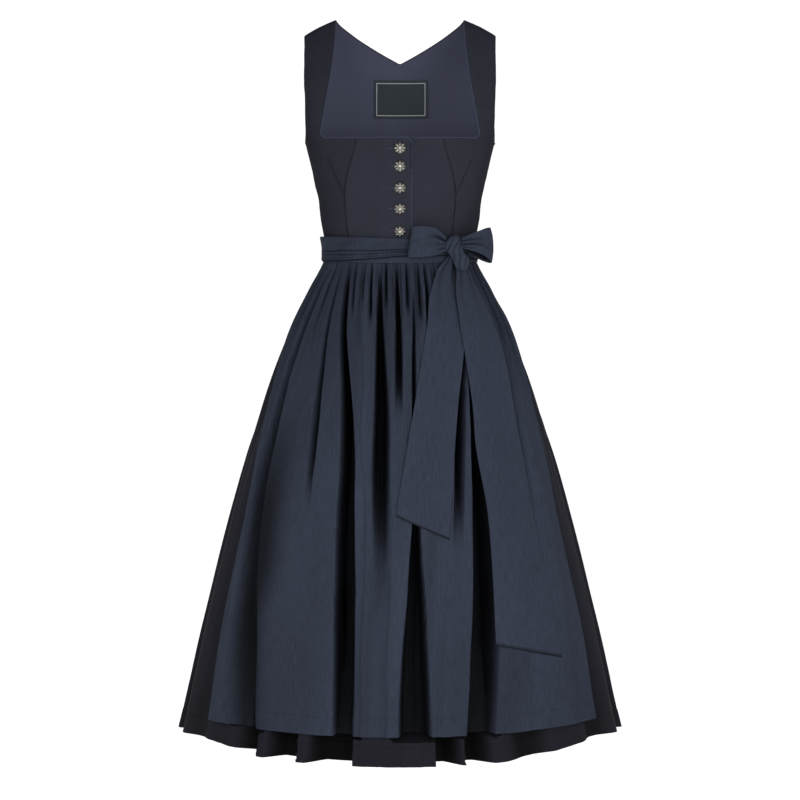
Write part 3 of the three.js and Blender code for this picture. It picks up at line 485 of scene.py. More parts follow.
def side_front(side, columns=58):
    """A side front with its strap, from the princess seam to the side seam and the armhole."""
    (inner_angle, inner_height), (outer_angle, outer_height) = side_front_edges()
    across = spread(columns)
    angle = lerp(inner_angle[:, None], np.minimum(outer_angle, SIDE_SEAM_ANGLE)[:, None], across)
    height = lerp(inner_height[:, None], outer_height[:, None], across)
    settle = smoothstep(height, WAIST_HEIGHT - 15, WAIST_HEIGHT + 30)
    height = lerp(waist_height(angle) + SEAM_GAP / 2 + (height - height[0]), height, settle)
    points = skin(side * angle, height)
    if side < 0:
        points, angle = points[:, ::-1], angle[:, ::-1]
    x, z = np.abs(points[..., 0]), points[..., 2]
    beside_seam = np.where(z < NECKLINE + 4, x - princess_out(z), FAR_FROM_SEAM)
    from_side = (SIDE_DIP_ANGLE - angle) * MM_A_DEGREE
    beside_side = np.where(z < SIDE_SEAM_TOP - 4, from_side, FAR_FROM_SEAM)
    sewn = dip_beside(beside_seam) + dip_beside(distance_to_line(x, z, DART["from"], DART["to"]))
    relief = sewn + dip_beside(beside_side) + cloth_unevenness(points, 20 + side)
    away = SIDE_SHADE[side] + TURNED_AWAY_SHADE * smoothstep(angle, 50, 88)
    shade = 1 - (1 + SEAM_SHADE * np.maximum(sewn, -SEAM_DIP)) * (1 - away)
    return moved_out(points, relief), shade


def bodice_piece(node, made):
    points, shade = made
    return cloth(f"{node}_shell", points, BODICE_CLOTH, "bodice_cloth", [node], fold=shade)


bodice = [
    bodice_piece("bodice_front_right", front_centre(-1)),
    bodice_piece("bodice_front_left", front_centre(1)),
    bodice_piece("bodice_side_right", side_front(-1)),
    bodice_piece("bodice_side_left", side_front(1)),
]
print("bodice fronts:", [len(o.data.polygons) for o in bodice])

# %% [markdown]
# ## The back, its lining and the label
#
# The back is one grid blended between its four edges: the waist, the two sides with their armholes,
# and the top, which comes down to a point. The lining is the same grid just inside it. Through the
# open neck it is the only part of the inside that shows, with a label sewn in its middle.

# %% The back's grid
BACK_SIDE_ANGLE, LINING_SIDE_ANGLE = 90.02, 88.6
TOP_CORNERS = [0, 1 / 9, 0.5, 8 / 9, 1]


def back_grid(rows=80, columns=90, side=BACK_SIDE_ANGLE):
    shoulder = (BACK_ARMHOLE["angle"][-1], BACK_ARMHOLE["height"][-1])
    neck = (180 - angle_at(NECK_OUT, NECK_TOP), NECK_TOP)
    point = (180.0, BACK_NECK_POINT)
    u, v = spread(columns), spread(rows)[:, None]
    mirror = lambda place: (360 - place[0], place[1])
    corners = np.array([shoulder, neck, point, mirror(neck), mirror(shoulder)])
    top = [np.interp(u, TOP_CORNERS, corners[:, i]) for i in (0, 1)]
    bottom_angle = lerp(side, 360 - side, u)
    bottom = [bottom_angle, waist_height(bottom_angle) + SEAM_GAP / 2]
    hole_angle, hole_height = armhole(BACK_ARMHOLE, 90)
    side_angle = np.concatenate([[side], np.maximum(hole_angle, side)])
    side_height = np.concatenate([[bottom[1][0]], hole_height])
    left = [part[:, None] for part in arc_walk(side_angle, side_height, rows)]
    right = [360 - left[0], left[1]]
    blended = []
    for i in (0, 1):
        corners_below = lerp(bottom[i][0], bottom[i][-1], u)
        corners_above = lerp(top[i][0], top[i][-1], u)
        sides = lerp(left[i], right[i], u)
        blended.append(lerp(bottom[i], top[i], v) + sides - lerp(corners_below, corners_above, v))
    return skin(*blended)


back = back_grid()
print("back grid:", back.shape[:2])

# %% Back, lining and label
LINING_ROWS, LINING_COLUMNS, LINING_LOWER, LINING_INSIDE = 70, 76, 1.8, 0.6
LABEL_OFFSET, LABEL_HALF_WIDTH, LABEL_BOTTOM, LABEL_TOP = 1.8, 45, -130, -67
LABEL_CLOTH, LABEL_INSET = 0.8, BODICE_CLOTH + LINING_CLOTH + 2.0

back_points = moved_out(back, cloth_unevenness(back, 40))
cloth("bodice_back_shell", back_points, BODICE_CLOTH, "bodice_cloth", ["bodice_back"])
lining_points = back_grid(LINING_ROWS, LINING_COLUMNS, LINING_SIDE_ANGLE)
lining_points[..., 2] -= LINING_LOWER * smoothstep(spread(LINING_ROWS), 0.8, 1)[:, None]
lining_relief = cloth_unevenness(lining_points, 40) + cloth_unevenness(lining_points, 50, 0.35)
cloth(
    "back_lining_shell",
    moved_out(lining_points, lining_relief - LINING_INSIDE),
    LINING_CLOTH,
    "lining_cloth",
    ["back_lining"],
    inset=BODICE_CLOTH + SEAM_GAP,
)


def label_grid():
    height = np.linspace(LABEL_BOTTOM, LABEL_TOP, 24)[:, None]
    x = LABEL_OFFSET + np.linspace(LABEL_HALF_WIDTH, -LABEL_HALF_WIDTH, 32)[None, :]
    angle = 180 - angle_at(x, height)
    return skin(angle, height + 0 * x)


cloth("neck_label_shell", label_grid(), LABEL_CLOTH, "label_cloth", ["neck_label"], inset=LABEL_INSET)
print("back, lining and label made")

# %% [markdown]
# ## Piping
#
# A folded strip sewn round a cord edges the neck and runs down the front edge. It catches the light
# as a thin lighter line and tells the eye where one cloth ends.

# %% Piping
PIPING_RADIUS, PIPING_TOP, PIPING_FOOT, LEFT_PIPING_END = 1.15, 9, -342, 21.0


def piping_path(side):
    strap_height = np.linspace(PIPING_TOP, STRAP_EDGE["height"][0], 60)
    turn = np.radians(np.linspace(90, 0, 16)[1:])
    level_to = OVERLAP_CORNER - OVERLAP if side < 0 else LEFT_PIPING_END
    level = np.linspace(CORNER_OUT, level_to, 70)[1:]
    out = [curve(STRAP_EDGE, "out")(strap_height), CORNER_OUT + CORNER_RADIUS * np.sin(turn), level]
    corner_height = neckline_height(CORNER_OUT) + CORNER_RADIUS * (1 - np.cos(turn))
    height = [strap_height, corner_height, neckline_height(level)]
    if side < 0:
        bend = np.radians(np.linspace(0, 90, 14)[1:])
        out.append(OVERLAP_CORNER * (1 - np.sin(bend)) - OVERLAP)
        height.append(NECKLINE - OVERLAP_CORNER * (1 - np.cos(bend)))
        down = np.linspace(NECKLINE - OVERLAP_CORNER, PIPING_FOOT, 60)[1:]
        out.append(np.full(len(down), -OVERLAP))
        height.append(down)
    out, height = np.concatenate(out), np.concatenate(height)
    angle = angle_at(side * out, height)
    here = skin(angle, height)
    round_body = skin(angle + 0.2, height) - skin(angle - 0.2, height)
    up_body = skin(angle, height + 0.4) - skin(angle, height - 0.4)
    outward = np.cross(round_body, up_body)
    outward /= np.linalg.norm(outward, axis=1, keepdims=True)
    tangent = np.gradient(here, axis=0)
    sideways = np.cross(outward, tangent)
    sideways /= np.linalg.norm(sideways, axis=1, keepdims=True)
    lift = overlap_lift(here[:, 0]) if side < 0 else 0 * here[:, 0]
    return here + outward * (lift - BODICE_CLOTH / 2)[:, None] - side * sideways * (PIPING_RADIUS + 0.1)


for side, node in ((-1, "piping_right"), (1, "piping_left")):
    tube(f"{node}_cord", piping_path(side), PIPING_RADIUS, "piping_cloth", [node])
print("piping made")

# %% [markdown]
# ## Buttons
#
# Five domed metal buttons with a flower in relief. Each is turned round its own axis and then
# pressed into petals: the height swings with the angle, deepest half way out, round a small raised
# boss. A buttonhole runs out from under each.

# %% Buttons
BUTTON_RADIUS, BUTTON_HEIGHT, PETALS = 9.0, 6.0, 8
PETAL_RELIEF, VEIN_RELIEF, PETAL_RIM = 0.13, 0.05, 0.03
BUTTON_PLACES = [-208, -235.4, -267.7, -299.3, -333.4]
BUTTON_PROFILE = table(
    "out up",
    (0, 1.02), (0.16, 1.0), (0.26, 0.86), (0.36, 0.84),
    (0.55, 0.86), (0.75, 0.72), (0.92, 0.46), (1, 0.2),
)


def button_mesh(number, height):
    rings, around = 40, 96
    out = np.concatenate([spread(rings), [0.97, 0.8, 0]])
    up = np.concatenate([curve(BUTTON_PROFILE, "up")(spread(rings)), [0.04, 0, 0]])
    turn = 2 * np.pi * np.arange(around) / around
    petals = np.cos(PETALS * turn)[None, :]
    veins = np.cos(2 * PETALS * turn + 0.6)[None, :]
    reach = smoothstep(out, 0.26, 0.5) * (1 - smoothstep(out, 0.86, 1.0))
    top = np.arange(len(out)) < rings
    relief = np.where(top, reach, 0)[:, None] * (PETAL_RELIEF * petals + VEIN_RELIEF * veins)
    rim = 1 + PETAL_RIM * np.where(out > 0.9, 1, 0)[:, None] * petals
    radius = (out[:, None] * rim) * BUTTON_RADIUS
    rise = (up[:, None] + relief) * BUTTON_HEIGHT
    seat = skin(np.array([0.0]), np.array([float(height)]))[0]
    below, above = skin(np.array([0.0, 0.0]), np.array([height - 2.0, height + 2.0]))
    upward = (above - below) / np.linalg.norm(above - below)
    facing = np.cross([1.0, 0, 0], upward)
    vertices = (
        (seat + facing * (OVERLAP_LIFT + SEAM_GAP))[None, None]
        + np.array([1.0, 0, 0]) * (radius * np.cos(turn))[..., None]
        + upward * (radius * np.sin(turn))[..., None]
        + facing * rise[..., None]
    )
    _, faces = ring_walls(len(out), around)
    petal_gaps = np.where(top, reach, 0)[:, None] * smoothstep(-petals, 0.1, 0.9)
    ring_gap = np.exp(-(((out[:, None] - 0.3) / 0.07) ** 2)) * np.where(top, 1, 0)[:, None]
    shade = np.clip(petal_gaps + 0.8 * ring_gap, 0, 1)
    name, node = f"button_{number}_flower", f"button_{number}"
    return add_mesh(name, vertices.reshape(-1, 3), faces, "button_metal", [node], None, shade)


buttons = [button_mesh(i + 1, height) for i, height in enumerate(BUTTON_PLACES)]
print("buttons:", len(buttons))

# %% [markdown]
# A buttonhole is a slit edged with close stitches. Beside the button only those stitches show, as a
# short thick thread, so one small cord is enough.

# %% Buttonholes
BUTTONHOLE_OUT, BUTTONHOLE_IN, STITCH_RADIUS = -18.5, -8.0, 0.7


def buttonhole(number, height):
    """A short run of close stitches beside the button."""
    x = np.linspace(BUTTONHOLE_OUT, BUTTONHOLE_IN, 24)
    path = skin(angle_at(x, float(height)), np.full(24, float(height)))
    path[:, 1] -= OVERLAP_LIFT + 0.1
    return tube(f"buttonhole_{number}", path, STITCH_RADIUS, "piping_cloth")


buttonholes = [buttonhole(i + 1, height) for i, height in enumerate(BUTTON_PLACES)]
print("buttonholes:", len(buttonholes))

# %% [markdown]
# ## Rings and fold lines below the waist
#
# Below the waist the cloth spreads over rings that grow towards the hem. Folds don't hang straight
# down on them: they fan out from the waist, wider in some places than in others. A point that
# leaves the waist at one angle follows a fold line, which the table gives for seven folds and the
# apron's two edges.

# %% Rings and fold lines
SKIRT_RING = table(
    "drop side front back",
    (0, 118.5, 89, 83),
    (20, 120, 91, 85),
    (60, 139, 111, 108),
    (120, 171, 137, 134),
    (180, 196.5, 158, 157),
    (240, 218, 177, 177),
    (370, 258, 213, 214),
    (560, 307, 255, 256),
    (764, 354, 293, 290),
)
FOLD_LINES = table(
    "drop edge_right far_right right centre_right centre slit between left edge_left",
    (0, -84, -58, -41, -15, -3, 9, 38, 42, 84),
    (120, -75, -55, -29.5, -10, -0.8, 7, 32, 36, 77),
    (240, -66, -55.5, -21, -7.2, -0.5, 5.6, 24.5, 31.5, 67),
    (410, -60.3, -54, -17, -6, -0.8, 5.1, 18.5, 28, 61.5),
    (580, -58.8, -47, -15, -5.8, -1.2, 4, 15, 23.6, 60.5),
    (764, -55, -38.5, -13.1, -5.4, -1.2, 3.5, 12, 18.7, 57),
)
ring = {column: curve(SKIRT_RING, column) for column in ("side", "front", "back")}
lines = [curve(FOLD_LINES, column) for column in list(FOLD_LINES)[1:]]
SKIRT_LENGTH, APRON_TOP, APRON_LENGTH = 763.0, 20.3, 720.0
APRON_EDGE = 84.0
APRON_EDGE_BEHIND = 360 - APRON_EDGE
print("ring at the hem:", [round(float(ring[c](SKIRT_LENGTH))) for c in ring], "mm")

# %% [markdown]
# A place on the skirt has an angle and a drop below the waist. It can be moved out or in from the
# ring, and sideways along it: that is how a fold leans.

# %% Points below the waist


def ring_point(angle, drop, out=0.0, shift=0.0):
    """Points on the rings, moved out, and moved sideways by shift."""
    turn = np.radians(angle)
    sin, cos = np.sin(turn), np.cos(turn)
    side = ring["side"](drop)
    reach = np.where(cos > 0, ring["front"](drop), ring["back"](drop))
    outward = np.stack(np.broadcast_arrays(sin / side, -cos / reach), axis=-1)
    outward /= np.linalg.norm(outward, axis=-1, keepdims=True)
    x = side * sin + outward[..., 0] * out - outward[..., 1] * shift
    y = -reach * cos + outward[..., 1] * out + outward[..., 0] * shift
    return np.stack(np.broadcast_arrays(x, y, waist_height(angle) - drop), axis=-1)


def mm_per_degree(angle, drop):
    turn = np.radians(angle)
    reach = np.where(np.cos(turn) > 0, ring["front"](drop), ring["back"](drop))
    return np.radians(1) * np.hypot(ring["side"](drop) * np.cos(turn), reach * np.sin(turn))


def flow(waist_angle, drop):
    """The angle at a drop of what leaves the waist at an angle. Both are arrays of one shape."""
    turned = np.where(waist_angle > APRON_EDGE_BEHIND, 360.0, 0.0)
    waist_angle = waist_angle - turned
    at_waist = np.array([line(0.0) for line in lines] + [360 + lines[0](0.0)])
    at_drop = np.stack([line(drop) for line in lines] + [360 + lines[0](drop)], axis=-1)
    i = np.clip(np.searchsorted(at_waist, waist_angle, side="right") - 1, 0, len(lines) - 1)
    share = (waist_angle - at_waist[i]) / (at_waist[i + 1] - at_waist[i])
    low = np.take_along_axis(at_drop, i[..., None], axis=-1)[..., 0]
    high = np.take_along_axis(at_drop, i[..., None] + 1, axis=-1)[..., 0]
    return lerp(low, high, share) + turned


print("one degree at the hem:", round(float(mm_per_degree(0.0, SKIRT_LENGTH)), 2), "mm")

# %% [markdown]
# ## Folds of the apron
#
# Two kinds of fold make the apron. Gathers start at the band, a finger's width apart, and die away
# at different lengths. A few deep folds run on to the hem: flat crests between narrow troughs so
# deep that little light gets in. A deep fold leans, so its crest hangs over its trough.

# %% Apron folds
APRON_FOLDS = table(
    "at top_half hem_half widest depth hem_depth start end lean flat",
    (-71, 4, 6, 120, 10, 0, 20, 150, 0, 0),
    (-62, 4, 7, 150, 15, 0, 20, 230, 0, 0),
    (-61, 8, 38, 700, 32, 30, 60, 900, 0.05, 0.1),
    (-57.2, 3, 9, 740, 12, 22, 560, 1000, 0.35, 0.1),
    (-54, 3, 4, 100, 8, 0, 20, 110, 0, 0),
    (-47.5, 3, 7.5, 300, 40, 0, 36, 410, 0.1, 0.2),
    (-41, 5, 16.5, 560, 66, 60, 26, 900, -0.12, 0.55),
    (-35, 2.5, 3.5, 100, 10, 0, 20, 115, 0, 0),
    (-28, 2.5, 3.5, 100, 8, 0, 20, 100, 0, 0),
    (-22, 2.6, 4.2, 100, 18, 0, 20, 130, 0, 0.1),
    (-15, 3.5, 14, 330, 62, 0, 20, 490, -0.12, 0.35),
    (-14, 6, 17, 600, 10, 0, 300, 590, 0, 0),
    (-10.8, 2.5, 3.5, 100, 12, 0, 20, 100, 0, 0),
    (-3, 3, 6.5, 200, 38, 0, 20, 270, 0, 0.3),
    (4.5, 2.5, 3.5, 100, 13, 0, 20, 115, 0, 0),
    (9, 2.5, 4, 300, 28, 0, 50, 480, 0, 0.2),
    (9, 4, 25, 740, 58, 52, 330, 900, 0, 0.62),
    (13.5, 2.6, 4, 100, 17, 0, 20, 130, 0, 0),
    (18.5, 3, 6, 200, 28, 0, 20, 260, 0, 0.2),
    (26, 2.5, 4, 100, 13, 0, 20, 150, 0, 0),
    (38, 5, 9, 300, 52, 0, 60, 470, 0, 0.4),
    (42, 6, 23, 480, 66, 60, 60, 900, 0.05, 0.6),
    (50, 3, 5, 100, 14, 0, 20, 160, 0, 0),
    (55.5, 4, 8, 110, 34, 0, 14, 190, 0, 0.3),
    (63, 7, 24, 400, 12, 0, 100, 520, 0, 0),
    (68, 3.5, 6, 120, 20, 0, 20, 160, 0, 0.1),
    (76, 4, 7, 150, 15, 0, 20, 220, 0, 0),
)
FOLD_WANDER = 0.14
print("apron folds:", len(APRON_FOLDS["at"]))

# %% [markdown]
# Each deep fold is a trough with a flat floor and smooth walls, which grows and fades along its
# length. The deeper a place lies, the less light reaches it, and the finish paints that in as shade.

# %% Form of the deep folds
def trough(q, flat):
    return 1 - smoothstep(np.abs(q), flat, 1)


def darkness(depth, scale):
    """How little light reaches a place so deep in a fold: 0 is open, 1 is none."""
    return 1 - np.exp(-((depth / scale) ** 2))


def fold_lines(folds, drops):
    """Where each fold's line lies at each of some drops, as angles: it wavers a little."""
    waver = lambda i: FOLD_WANDER * wander(drops, 260, 60 + i) * smoothstep(drops, 40, 300)
    return [flow(np.full_like(drops, at), drops) + waver(i) for i, at in enumerate(folds["at"])]


def apron_folds(angle, drop):
    """How deep the folds are and how far they carry the cloth sideways. A grid's row is one drop."""
    perimeter = mm_per_degree(angle, drop)
    level = drop[:, :1] if drop.ndim == 2 else drop
    depth, shift = 0.0, 0.0
    for i, centre in enumerate(fold_lines(APRON_FOLDS, level)):
        fold = {name: values[i] for name, values in APRON_FOLDS.items()}
        widened = smoothstep(level, fold["start"], fold["widest"])
        half = lerp(fold["top_half"], fold["hem_half"], widened)
        q = (angle - centre) * perimeter / half
        full = fold["start"] + min(170, 0.35 * (fold["end"] - fold["start"]))
        grown = smoothstep(level, fold["start"] - 15, full)
        faded = 1 - smoothstep(level, lerp(fold["start"], fold["end"], 0.55), fold["end"])
        at_hem = fold["hem_depth"] or fold["depth"]
        deep = lerp(fold["depth"], at_hem, smoothstep(level, 400, APRON_LENGTH))
        part = deep * grown * faded * trough(q, fold["flat"])
        depth, shift = depth + part, shift + part * fold["lean"]
    return depth, shift


print("light lost one scale deep:", round(float(darkness(1.0, 1.0)), 2))

# %% [markdown]
# A gather is a round crest between two narrow valleys. No two are alike: each valley draws its own
# depth and length from a seeded generator. Broader waves and long faint creases run over all of
# them.

# %% Gathers and waves
APRON_GATHERS = np.linspace(-APRON_EDGE, APRON_EDGE, 29) + 1.4 * wander(np.arange(29), 2.7, 91)
APRON_GATHERS[[0, -1]] = (-APRON_EDGE, APRON_EDGE)
GATHER_DEPTH = table(
    "drop depth",
    (0, 0.6), (20, 1.4), (32, 2.8), (60, 3.8), (100, 3.4), (170, 2.2), (260, 1), (360, 0.2), (900, 0),
)
gather_depth = curve(GATHER_DEPTH, "depth")


def gathers(waist_angle, drop, valleys, seed):
    """Round crests between narrow valleys, each valley with its own depth and length."""
    i = np.clip(np.searchsorted(valleys, waist_angle, side="right") - 1, 0, len(valleys) - 2)
    share = (waist_angle - valleys[i]) / (valleys[i + 1] - valleys[i])
    near = np.where(share < 0.5, i, i + 1)
    rng = np.random.default_rng(seed)
    strength = rng.uniform(0.55, 1.15, len(valleys))[near]
    length = (75 + 250 * rng.uniform(0, 1, len(valleys)) ** 2)[near]
    from_crest = np.abs(2 * share - 1)
    narrow = from_crest ** lerp(3.2, 2.2, smoothstep(drop, 20, 160)) + 0.12 * from_crest**2
    return gather_depth(drop) * strength * narrow * (1 - smoothstep(drop, length * 0.4, length))


def broad_waves(waist_angle, drop, seed):
    """The soft swell of a broad crest, and long faint creases down it."""
    along = waist_angle + 2.5 * wander(drop, 420, seed)
    swell = 2.2 * wander(along, 17, seed + 1) * smoothstep(drop, 60, 320)
    grown = smoothstep(drop, 30, 130)
    creases = 0.8 * wander(along, 5.1, seed + 2) * grown * (1 - 0.55 * smoothstep(drop, 300, 640))
    return swell + creases


print("gathers of the apron:", len(APRON_GATHERS))

# %% [markdown]
# Folds, gathers and waves add up to how far the apron lies from the rings. The same sum gives
# each place its painted shade: deep folds and narrow valleys lose light, and so does the cloth
# beside the tails, at the wearer's right and just below the band.

# %% How far out the apron lies
TOP_SHADE, GATHER_SHADE, DARK_FOLD, DARK_GATHER = 0.2, 0.66, 14, 3.2
SIDE_SHADOW = {"high": -55.0, "low": -59.0, "half": 54.0, "strength": 0.92}
TAIL_SHADOW = {"at": 54, "half": 4, "strength": 0.75}


def apron_lift(drop):
    return np.interp(drop, [0, 20, 60, 900], [3.2, 3.6, 7, 7])


def apron_shadow(waist_angle, angle, drop):
    """The shadow at the wearer's right, and the one beside the tails."""
    shadow_line = flow(lerp(SIDE_SHADOW["high"], SIDE_SHADOW["low"], smoothstep(drop, 460, 620)), drop)
    from_shadow = (angle - shadow_line) * mm_per_degree(angle, drop)
    shadow = SIDE_SHADOW["strength"] * trough(from_shadow / SIDE_SHADOW["half"], 0)
    shadow = shadow * smoothstep(drop, 200, 420)
    shadow = shadow * (1 - 0.45 * smoothstep(drop, 560, 720))
    beside_tails = np.exp(-(((waist_angle - TAIL_SHADOW["at"]) / TAIL_SHADOW["half"]) ** 2))
    return np.maximum(shadow, TAIL_SHADOW["strength"] * beside_tails * (1 - smoothstep(drop, 40, 100)))


def apron_out(waist_angle, drop):
    """For each place on the apron: its angle, how far out it lies, its shift, and its painted shade."""
    angle = flow(waist_angle, drop)
    depth, shift = apron_folds(angle, drop)
    small = gathers(waist_angle, drop, APRON_GATHERS, 7)
    waves = 2.2 * np.tanh(broad_waves(waist_angle, drop, 80) / 2.2) * smoothstep(drop, 20, 60)
    # Painted shade just below the band, soft streaks of tone across the apron, and darker towards the
    # hem.
    streaks = 0.12 * (1 + wander(waist_angle + drop / 30, 31, 83))
    shade_and_tone = TOP_SHADE * (1 - smoothstep(drop, 90, 330)) + streaks
    shade_and_tone = shade_and_tone + 0.12 * smoothstep(drop, 470, 700)
    deepest = lerp(0.86, 1.0, smoothstep(drop, 380, 640))
    light = 1 - deepest * darkness(depth, DARK_FOLD)
    light = light * (1 - GATHER_SHADE * darkness(small, DARK_GATHER))
    dark = 1 - light * (1 - shade_and_tone) * (1 - apron_shadow(waist_angle, angle, drop))
    return angle, apron_lift(drop) - depth - small + waves, shift, dark


print("apron lies out at its top:", float(apron_lift(APRON_TOP)), "mm")

# %% [markdown]
# A grid needs its lines where the form is steep. So the columns are spread evenly along the cloth
# and not along the angle, and the rows are close near the gathers and at the stitches of the hem.

# %% Columns, rows and hems
HEM_DOUBLED, STITCH_DEEP, STITCH_REACH = 0.5, -0.4, 1.1


def even_columns(start, end, count, place):
    """Waist angles that lie evenly along the cloth, so that steep folds get their share of columns."""
    fine = np.linspace(start, end, 3000)[None, :]
    total = 0
    for drop in (70.0, 260.0, 460.0, 690.0):
        points = place(fine, np.full_like(fine, drop))[0]
        length = np.concatenate([[0], np.cumsum(np.linalg.norm(np.diff(points, axis=0), axis=1))])
        total = total + length / length[-1]
    return np.interp(spread(count), total / total[-1], fine[0])


def hem_rows(top, bottom, count, stitch, more=()):
    """Drops from top to bottom, close together near the gathers and at the hem's stitching."""
    rows = lerp(top, bottom, spread(count) ** 1.35)
    near = bottom - stitch + np.array([-3, -1.5, -0.7, 0, 0.7, 1.5, 3])
    return np.unique(np.concatenate([rows, near, [bottom - 4, bottom - 1.2], more]))


def hem_relief(drop, bottom, stitch):
    """A turned-up hem is double, so it stands out a little below its row of stitches."""
    doubled = HEM_DOUBLED * smoothstep(drop, bottom - stitch - 1, bottom - stitch + 1)
    stitched = STITCH_DEEP * np.exp(-(((drop - bottom + stitch) / STITCH_REACH) ** 2))
    return doubled + stitched


print("a hem stands out", HEM_DOUBLED, "mm")

# %% [markdown]
# The apron is one grid over all of this. It could come from a cloth simulation, but that would lay
# the folds where it likes. Stated folds lie where they do on the real dress.

# %% Apron
APRON_HEM, APRON_COLUMNS, APRON_ROWS = 26.0, 440, 90


def apron_place(waist_angle, drop):
    angle, out, shift, _ = apron_out(waist_angle, drop)
    return ring_point(angle, drop, out, shift)


def apron_shell():
    columns = even_columns(-APRON_EDGE, APRON_EDGE, APRON_COLUMNS, apron_place)
    rows = hem_rows(APRON_TOP, APRON_LENGTH, APRON_ROWS, APRON_HEM)
    drop, waist_angle = np.meshgrid(rows, columns, indexing="ij")
    angle, out, shift, dark = apron_out(waist_angle, drop)
    out = out + hem_relief(drop, APRON_LENGTH, APRON_HEM)
    points = ring_point(angle, drop, out, shift)
    return cloth("apron_shell", points, APRON_CLOTH, "apron_cloth", ["apron_panel"], fold=dark)


apron = apron_shell()
print("apron faces:", len(apron.data.polygons))

# %% [markdown]
# ## The skirt
#
# The skirt is gathered all round. It shows at both sides, behind, and below the apron's hem, where
# its folds step back one behind the other like cards in a hand: each crest ends in a sharp edge
# that hides the start of the next valley. Under the apron it lies just inside, pressed in along the
# same folds.

# %% Skirt folds
SKIRT_FRONT_FOLDS = table(
    "at to_right to_left depth lean flat",
    (-62, 60, 40, 8, 0, 0.12),
    (-38.6, 50, 8, 36, 0.3, 0.12),
    (-27, 48, 8, 36, 0.3, 0.8),
    (-12.8, 64, 8, 40, 0.3, 0.82),
    (9.8, 8, 34, 38, -0.3, 0.6),
    (17.2, 8, 38, 38, -0.3, 0.55),
    (34, 50, 46, 16, 0, 0.12),
    (60, 50, 60, 14, 0, 0.12),
)
BACK_FOLDS, BACK_DEPTH, BACK_LEAN, BACK_FLAT = 15, 34, 0.12, 0.12
BACK_WIDE, BACK_NARROW = 50, 24


def uneven(i):
    wave = math.sin(i * 12.9898 + 4.1) * 43758.5453
    return wave - math.floor(wave)


def back_folds():
    """Folds spread over the sides and the back, each a little off its even place."""
    rows = []
    for i in range(BACK_FOLDS):
        at = lerp(APRON_EDGE, APRON_EDGE_BEHIND, (i + 0.5 + 0.3 * (uneven(i) - 0.5)) / BACK_FOLDS)
        to_right, to_left, leaning = BACK_NARROW, BACK_WIDE, -BACK_LEAN
        if uneven(i + 40) > 0.5:
            to_right, to_left, leaning = BACK_WIDE, BACK_NARROW, BACK_LEAN
        depth = BACK_DEPTH * lerp(0.65, 1.15, uneven(i + 20))
        rows.append((at, to_right, to_left, depth, leaning, BACK_FLAT))
    return table("at to_right to_left depth lean flat", *rows)


def skirt_folds(angle, drop):
    perimeter = mm_per_degree(angle, drop)
    opening = np.sqrt(np.clip(drop / SKIRT_LENGTH, 0, 1))
    behind = smoothstep(np.abs((angle + 180) % 360 - 180), 68, 92)
    depth, shift = 0.0, 0.0
    sets = ((SKIRT_FRONT_FOLDS, 250, 620, True), (back_folds(), 30, 420, False))
    for folds, start, full, at_hem in sets:
        for at, to_right, to_left, deep, leaning, flat in zip(*folds.values()):
            centre = at if at_hem else flow(np.full_like(drop, at), drop)
            away = ((angle - centre + 180) % 360 - 180) * perimeter
            half = np.where(away < 0, to_right, to_left) * opening
            grown = smoothstep(drop, start, full) * (1.0 if at_hem else behind)
            part = deep * grown * trough(away / np.maximum(half, 1), flat)
            depth, shift = depth + part, shift + part * leaning
    return depth, shift


print("skirt folds:", len(SKIRT_FRONT_FOLDS["at"]) + BACK_FOLDS)

# %% [markdown]
# Two rules say how far out the skirt lies: its own folds where it is free, and just inside the
# apron where it is covered. The lower of the two holds, so the skirt never comes through.

# %% How far out the skirt lies
SKIRT_VALLEYS = np.linspace(APRON_EDGE, APRON_EDGE_BEHIND, 33) + 1.3 * wander(np.arange(33), 3.1, 90)
SKIRT_VALLEYS[[0, -1]] = (APRON_EDGE, APRON_EDGE_BEHIND)


def apron_underside(waist_angle, drop):
    """The lowest that the apron lies near a place, as far to the sides as its folds lean."""
    angle = flow(waist_angle, drop)
    perimeter = mm_per_degree(angle, drop)
    edges = [flow(np.full_like(drop, edge), drop) for edge in (-APRON_EDGE, APRON_EDGE)]
    deepest = 0.0
    for reach in np.linspace(-14, 14, 8):
        deepest = np.maximum(deepest, apron_folds(np.clip(angle + reach / perimeter, *edges), drop)[0])
    shallow = 1.2 * gather_depth(drop) * (1 - smoothstep(drop, 130, 340))
    return apron_lift(drop) - deepest - shallow - 2.6


def skirt_out(waist_angle, drop):
    """For each place on the skirt: its angle, how far out it lies, its shift, and its fold's depth."""
    waist_angle = np.where(waist_angle > APRON_EDGE_BEHIND, waist_angle - 360, waist_angle)
    signed = np.where(waist_angle > 180, waist_angle - 360, waist_angle)
    from_edge = np.abs(signed) - APRON_EDGE
    angle = flow(waist_angle, drop)
    depth, shift = skirt_folds(angle, drop)
    uncovered = np.clip(waist_angle, APRON_EDGE, APRON_EDGE_BEHIND)
    small = np.where(waist_angle > APRON_EDGE, gathers(uncovered, drop, SKIRT_VALLEYS, 11), 0)
    waves = np.tanh(0.7 * broad_waves(waist_angle, drop, 120)) * smoothstep(np.abs(from_edge), 0, 8)
    own = -depth - small + waves * smoothstep(drop, 40, 100)
    free = 40 * smoothstep(from_edge, 0, 9)
    clearance = lerp(1.8, 5, smoothstep(drop, 20, 90))
    below_hem = 5 * np.maximum(drop - APRON_LENGTH - 0.5, 0)
    pressed = apron_underside(signed, drop) - clearance + free + below_hem
    return angle, np.minimum(own, pressed), shift * smoothstep(drop, 300, 640), depth


print("gathers of the skirt:", len(SKIRT_VALLEYS))

# %% [markdown]
# The four panels share these rules, and each is a grid between two seams. The hem rises a little
# beside the apron.

